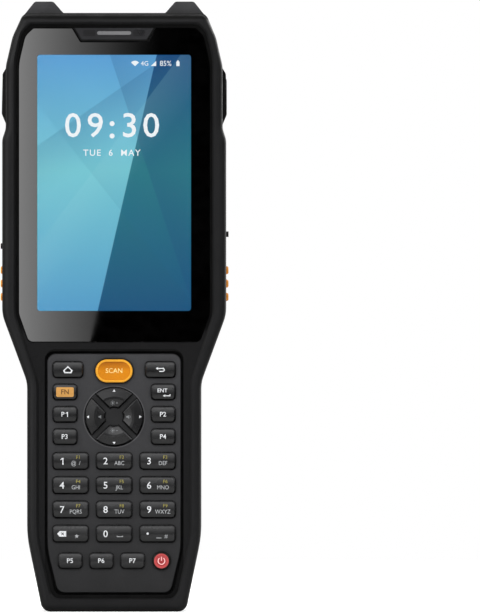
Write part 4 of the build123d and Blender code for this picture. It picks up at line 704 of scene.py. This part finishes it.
legend("key_hash", "grey", [outline([tile(1.7, 0.22, 0.05, 0.4, -1.4)]), words("#", 1.35, 2.9, -0.8)], "hash")

roof = [(-1.65, -0.2), (0, 1.35), (1.65, -0.2), (1.2, -1.1), (-1.2, -1.1)]
room = [(-1.1, -0.12), (0, 0.85), (1.1, -0.12), (0.9, -0.68), (-0.9, -0.68)]
legend("key_home", "white", [outline([roof, room], 0, -0.1)])
turned = stroke([(-0.9, 0.45), (0.85, 0.45)] + arc(0.5, 90, -90, 8, 0.85, -0.05) + [(-0.4, -0.55)], 0.32)
head = [(-1.5, 0.45), (-0.75, 1.0), (-0.75, -0.1)]
legend("key_back", "white", [outline([turned]), outline([head])])
hook = stroke([(1.5, -0.75), (1.5, -1.25), (-0.2, -1.25)], 0.3)
hook_head = [(-0.9, -1.25), (-0.1, -0.8), (-0.1, -1.7)]
enter = [words("ENT", 1.35, -0.3, 0.5, weight=0.02), outline([hook], 0.8), outline([hook_head], 0.8)]
legend("key_enter", "white", enter)

legend("key_fn", "amber", [outline([tile(6.0, 3.3, 0.5)])], "field")
x, z = middle("key_fn")
print_on("legend_fn", "key_fn", "brown", key_y - INK, [words("FN", 1.7, x, z, weight=0.03)],
         relief=crown("key_fn"))
legend("key_scan", "cream", [words("SCAN", WORD, 0, 0, weight=0.01)], relief=sunk)
power = [outline([stroke(arc(1.15, 125, 415, 20), 0.32)]), outline([tile(0.32, 1.35, 0.1, 0, 0.75)])]
legend("key_power", "rose", power, relief=sunk)

wedge = [(-0.5, -0.35), (0.5, -0.35), (0, 0.45)]
nav_z = hub_z / MM
rays = [stroke([(0.5 * math.cos(t), 0.5 * math.sin(t)), (0.8 * math.cos(t), 0.8 * math.sin(t))], 0.16)
        for t in [math.radians(45 * n) for n in range(8)]]
sun = [arc(0.32, 0, 345, 12, -0.5)] + [[(a - 0.5, b) for a, b in ray] for ray in rays]
horn = [(-0.6, 0.25), (-0.2, 0.25), (0.3, 0.65), (0.3, -0.65), (-0.2, -0.25), (-0.6, -0.25)]
minus = tile(0.7, 0.18, 0.03, 0.95)
inner = {
    "up": sun + [minus] + [tile(0.18, 0.24, 0.03, 0.95, side * 0.22) for side in (1, -1)],
    "down": sun + [minus],
    "left": [horn],
    "right": [horn, stroke(arc(0.75, -40, 40, 6), 0.16)],
}
ARROW_R, ICON_R = 8.9, 4.7  # from the hub in mm
ways = {"up": (0, 1, 0), "left": (-1, 0, 90), "down": (0, -1, 180), "right": (1, 0, -90)}
for name, (a, b, turn) in ways.items():
    key = "key_nav_" + name
    t = math.radians(turn)
    arrow = [(p * math.cos(t) - q * math.sin(t), p * math.sin(t) + q * math.cos(t)) for p, q in wedge]
    arrow = [outline([arrow], ARROW_R * a, nav_z + ARROW_R * b)]
    print_on("legend_nav_" + name, key, "white", key_y, arrow, relief=dish)
    icon = [outline([loop], ICON_R * a, nav_z + ICON_R * b) for loop in inner[name]]
    print_on("legend_nav_" + name + "_icon", key, "dim", key_y, icon, relief=dish)

# ---- Figures on the screen -----------------------------------------------------------------------
screen_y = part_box("display_panel")[0].y


def lit(name, drawings):
    """Lit figures on the picture's face."""
    print_on(name, "root", "lit", screen_y, drawings, deep=0.01 * MM)


CLOCK_DROP, STATUS_DROP = 24.3, 3.0  # below the top of the picture in mm
clock_z = picture_high / MM - CLOCK_DROP
clock_digits = (("0", -14.0), ("9", -6.4), ("3", 5.3), ("0", 12.6))
figures = [words(f, 8.5, x, clock_z - 0.1, weight=0.07, slim=1.02) for f, x in clock_digits]
figures += [outline([arc(0.85, 0, 350, 20, -0.7, clock_z + h)]) for h in (0.9, -3.3)]
lit("clock_figures", figures)
lit("date_line", [words("TUE  6  MAY", 2.2, -0.8, clock_z - 9.1, spacing=1.2, weight=0.02)])
status_z = picture_high / MM - STATUS_DROP
fan = arc(1.75, 40, 140, 10) + [(0, -0.1)]
cell = [tile(1.1, 1.6, 0.25), tile(0.5, 0.4, 0.05, 0, 0.9)]
lit("status_row", [
    outline([fan], 7.1, status_z - 0.75),
    words("4G", 1.6, 10.4, status_z),
    outline([[(-0.9, -0.8), (0.9, -0.8), (0.9, 0.9)]], 13.4, status_z),
    words("85%", 1.85, 17.5, status_z, slim=0.95),
    outline([cell[0]], 21.7, status_z - 0.05),
    outline([cell[1]], 21.7, status_z),
])

# ---- Screw heads ---------------------------------------------------------------------------------
BACK = Matrix(((-1, 0, 0, 0), (0, 0, 1, 0), (0, 1, 0, 0), (0, 0, 0, 1)))
# Dark paint: a ring near each screw head's rim, and painted shade in its socket.
dark_ring_and_socket_shade = plain("screw_socket", srgb(6, 6, 6), 0.6, grain=(3000, 0.02), sheen=0.1)


def heads(node):
    """The middle and radius of each screw head in a piece, in mm, and its face level in metres."""
    apart, head_tall = 5 * MM, 0.6 * MM
    groups = []
    for point in [v.co for v in nodes[node].data.vertices]:
        for group in groups:
            if math.hypot(group[0].x - point.x, group[0].z - point.z) < apart:
                group.append(point)
                break
        else:
            groups.append([point])
    for group in groups:
        face = max(p.y for p in group)
        rim = [p for p in group if p.y > face - head_tall]
        x, z = [(min(p[a] for p in rim) + max(p[a] for p in rim)) / 2 for a in (0, 2)]
        yield x / MM, z / MM, max(math.hypot(p.x - x, p.z - z) for p in rim) / MM, face


for node in ("cover_screws", "small_screws"):
    for n, (x, z, r, face) in enumerate(heads(node)):
        ring = outline([arc(r * 0.96, 0, 348, 29), arc(r * 0.72, 0, 348, 29)], -x, z)
        socket = outline([arc(r * 0.4, 0, 300, 5)], -x, z)
        print_on(f"{node}_{n + 1}", "root", dark_ring_and_socket_shade, face, [ring, socket], turn=BACK)

# ---- Earpiece ------------------------------------------------------------------------------------
mesh_paint = plain("earpiece_mesh", srgb(116, 116, 118), 0.45, grain=(1800, 0.12))
mesh_y, mesh_deep = ear_low.y + 0.25 * MM, 0.2 * MM
mesh_drawing = outline([tile(11.6, 1.2, 0.6)], 0, earpiece_z / MM)
print_on("earpiece_mesh", "root", mesh_paint, mesh_y, [mesh_drawing], deep=mesh_deep)


# ---- Floor, light and camera ---------------------------------------------------------------------
def flat_stage(name, corners, material):
    """One flat face of the stage."""
    mesh = bpy.data.meshes.new(name)
    mesh.from_pydata(corners, [], [range(len(corners))])
    mesh.materials.append(material)
    piece = bpy.data.objects.new(name, mesh)
    bpy.context.scene.collection.objects.link(piece)
    return piece


def end_of(paint):
    """The Surface socket of a material's output."""
    return next(n for n in paint.tree.nodes if n.type == "OUTPUT_MATERIAL").inputs["Surface"]


def floor_paint():
    """Pale floor, white to the camera but for the shadow, fading out into the white round it."""
    paint = Paint("floor")
    seen = paint.new("LightPath").outputs["Is Camera Ray"]
    tone = paint.mix(paint.ramp(paint.noise(3, 2.0), 0.3, 0.7), (0.80, 0.80, 0.80, 1), (0.82, 0.82, 0.82, 1))
    glow = paint.new("Emission", {"Color": (1, 1, 1, 1), "Strength": paint.math("MULTIPLY", seen, 0.5)})
    paint.give(Base_Color=tone, Roughness=0.9)
    total = paint.new("AddShader", {0: paint.shader.outputs[0], 1: glow.outputs[0]}).outputs[0]
    far = paint.new("VectorMath", {0: paint.place}, operation="LENGTH").outputs["Value"]
    fade = paint.ramp(far, 0.25, 0.7)
    clear = paint.new("BsdfTransparent").outputs[0]
    paint.feed(end_of(paint), paint.new("MixShader", {0: fade, 1: total, 2: clear}).outputs[0])
    return paint.material


reach = 0.8
floor_corners = [(-reach, -reach, 0), (reach, -reach, 0), (reach, reach, 0), (-reach, reach, 0)]
flat_stage("floor", floor_corners, floor_paint())

PICTURE_W, PICTURE_H = 480, 613  # pixels
MIDDLE_PX, FOOT_PX = 114.1, 611.8  # the part's middle and lower end, from the left and from the top
pixel = 0.34 * MM
camera_x, camera_z = (PICTURE_W / 2 - MIDDLE_PX) * pixel, (FOOT_PX - PICTURE_H / 2) * pixel
LENS, SENSOR = 600, 36
away = PICTURE_H * pixel * LENS / SENSOR


def card(name, face, y, bright, dark, points, seen_from, power=5.6):
    """Light seen only in one piece's gloss, brightest at bright and dark at dark along X."""
    paint = Paint(name)
    left, right = min(bright, dark), max(bright, dark)
    fade = paint.ramp(paint.x, left, right, float(bright < dark), float(bright > dark))
    fade = paint.math("POWER", fade, 1.9)
    level = paint.product(fade, power, paint.new("LightPath").outputs["Is Glossy Ray"])
    glow = paint.new("Emission", {"Color": (1, 1, 1, 1), "Strength": level})
    clear = paint.new("BsdfTransparent").outputs[0]
    paint.feed(end_of(paint), paint.new("AddShader", {0: glow.outputs[0], 1: clear}).outputs[0])
    grow = abs(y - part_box(face)[0].y) / away
    eye_x, eye_z = seen_from  # spread about here, its mirror image covers the points on the face
    spread = [(x + (x - eye_x) * grow, y, z + (z - eye_z) * grow) for x, z in points]
    piece = flat_stage(name, spread, paint.material)
    piece.visible_camera = False
    piece.visible_diffuse = False
    piece.visible_shadow = False
    lit_pieces = bpy.data.collections.new(name)
    lit_pieces.objects.link(nodes[face])
    piece.light_linking.receiver_collection = lit_pieces


width = 2 * picture_half
low_x = -picture_half + width * GLARE[1]
slant = width * GLARE[0] / (picture_high - picture_low)
foot, head = 0.06, 0.23  # lower and upper end of the front card
edge_foot, edge_head = low_x + (foot - picture_low) * slant, low_x + (head - picture_low) * slant
front_points = [(-0.08, foot), (edge_foot, foot), (edge_head, head), (-0.08, head)]
back_points = [(0.04, 0.14), (0.001, 0.14), (-0.002, 0.205), (0.04, 0.205)]
card("front_card", "touch_glass", y=-0.2, bright=-0.0395, dark=0.0155,
     points=front_points, seen_from=(camera_x, camera_z))
card("back_card", "rear_window", y=0.2, bright=0.02, dark=-0.05,
     points=back_points, seen_from=(0, MIDDLE_Z), power=5.0)


def lamp(name, place, aim, width, height, power):
    """A rectangular lamp that looks at aim; sizes in metres, power in watts."""
    data = bpy.data.lights.new(name, "AREA")
    data.shape = "RECTANGLE"
    data.size, data.size_y = width, height
    data.energy = power
    lamp_object = bpy.data.objects.new(name, data)
    bpy.context.scene.collection.objects.link(lamp_object)
    lamp_object.location = place
    lamp_object.rotation_mode = "QUATERNION"
    lamp_object.rotation_quaternion = (Vector(aim) - Vector(place)).to_track_quat("-Z", "Y")


centre = (0, 0, MIDDLE_Z)
lamp("front_left", (-0.9, -0.9, 0.6), centre, 0.4, 0.6, 6.0)
lamp("front_right", (0.95, -0.8, 0.45), centre, 0.4, 0.6, 2.5)
lamp("front_over", (-0.15, -0.75, 0.95), centre, 0.9, 0.4, 6.5)
lamp("back_right", (0.9, 0.9, 0.6), centre, 0.4, 0.6, 6.0)
lamp("back_left", (-0.95, 0.8, 0.45), centre, 0.4, 0.6, 2.5)
lamp("back_over", (0.15, 0.75, 0.95), centre, 0.9, 0.4, 6.5)

world = bpy.data.worlds.new("studio")
bpy.context.scene.world = world
world.use_nodes = True
sky = world.node_tree
path = sky.nodes.new("ShaderNodeLightPath")
ground = sky.nodes["Background"]
ground.inputs["Color"].default_value = (1, 1, 1, 1)


def sky_ramp(value, low, high, start, end):
    """start below low, end above high, and an even change between."""
    node = sky.nodes.new("ShaderNodeMapRange")
    sky.links.new(value, node.inputs["Value"])
    for key, number in (("From Min", low), ("From Max", high), ("To Min", start), ("To Max", end)):
        node.inputs[key].default_value = number
    return node.outputs[0]


def sky_math(operation, a, b):
    """One step of arithmetic on two sockets or numbers."""
    node = sky.nodes.new("ShaderNodeMath")
    node.operation = operation
    for socket, value in zip(node.inputs, (a, b)):
        if isinstance(value, bpy.types.NodeSocket):
            sky.links.new(value, socket)
        else:
            socket.default_value = value
    return node.outputs[0]


# The camera and clear glass see white; gloss sees light from overhead and from each face's upper left.
# Matt surfaces see a weak even light.
ray = sky.nodes.new("ShaderNodeTexCoord").outputs["Generated"]
split = sky.nodes.new("ShaderNodeSeparateXYZ")
sky.links.new(ray, split.inputs[0])
side = sky_math("MULTIPLY", sky_math("MULTIPLY", split.outputs["X"], split.outputs["Y"]), 0.8)
lean = sky_math("ADD", sky_math("MULTIPLY", split.outputs["Z"], 0.9), side)
overhead = sky_ramp(lean, 0.03, 0.5, 0.0, 2.8)
zenith = sky_ramp(lean, 0.55, 0.75, 1.0, 0.15)
gloss = sky_math("MULTIPLY", sky_math("MULTIPLY", path.outputs["Is Glossy Ray"], overhead), zenith)
seen = sky_math("MAXIMUM", path.outputs["Is Camera Ray"], path.outputs["Is Transmission Ray"])
seen = sky_math("MAXIMUM", seen, gloss)
soft = sky_math("MULTIPLY", path.outputs["Is Diffuse Ray"], 0.28)
sky.links.new(sky_math("MAXIMUM", seen, soft), ground.inputs["Strength"])

camera_data = bpy.data.cameras.new("camera")
camera_data.sensor_width = SENSOR
camera_data.lens = LENS
camera = bpy.data.objects.new("camera", camera_data)
bpy.context.scene.collection.objects.link(camera)
camera.location = (camera_x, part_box("touch_glass")[0].y - away, camera_z)
camera.rotation_euler = (math.pi / 2, 0, 0)
camera_data.clip_end = 100
bpy.context.scene.camera = camera
bpy.context.scene.view_settings.view_transform = "Standard"
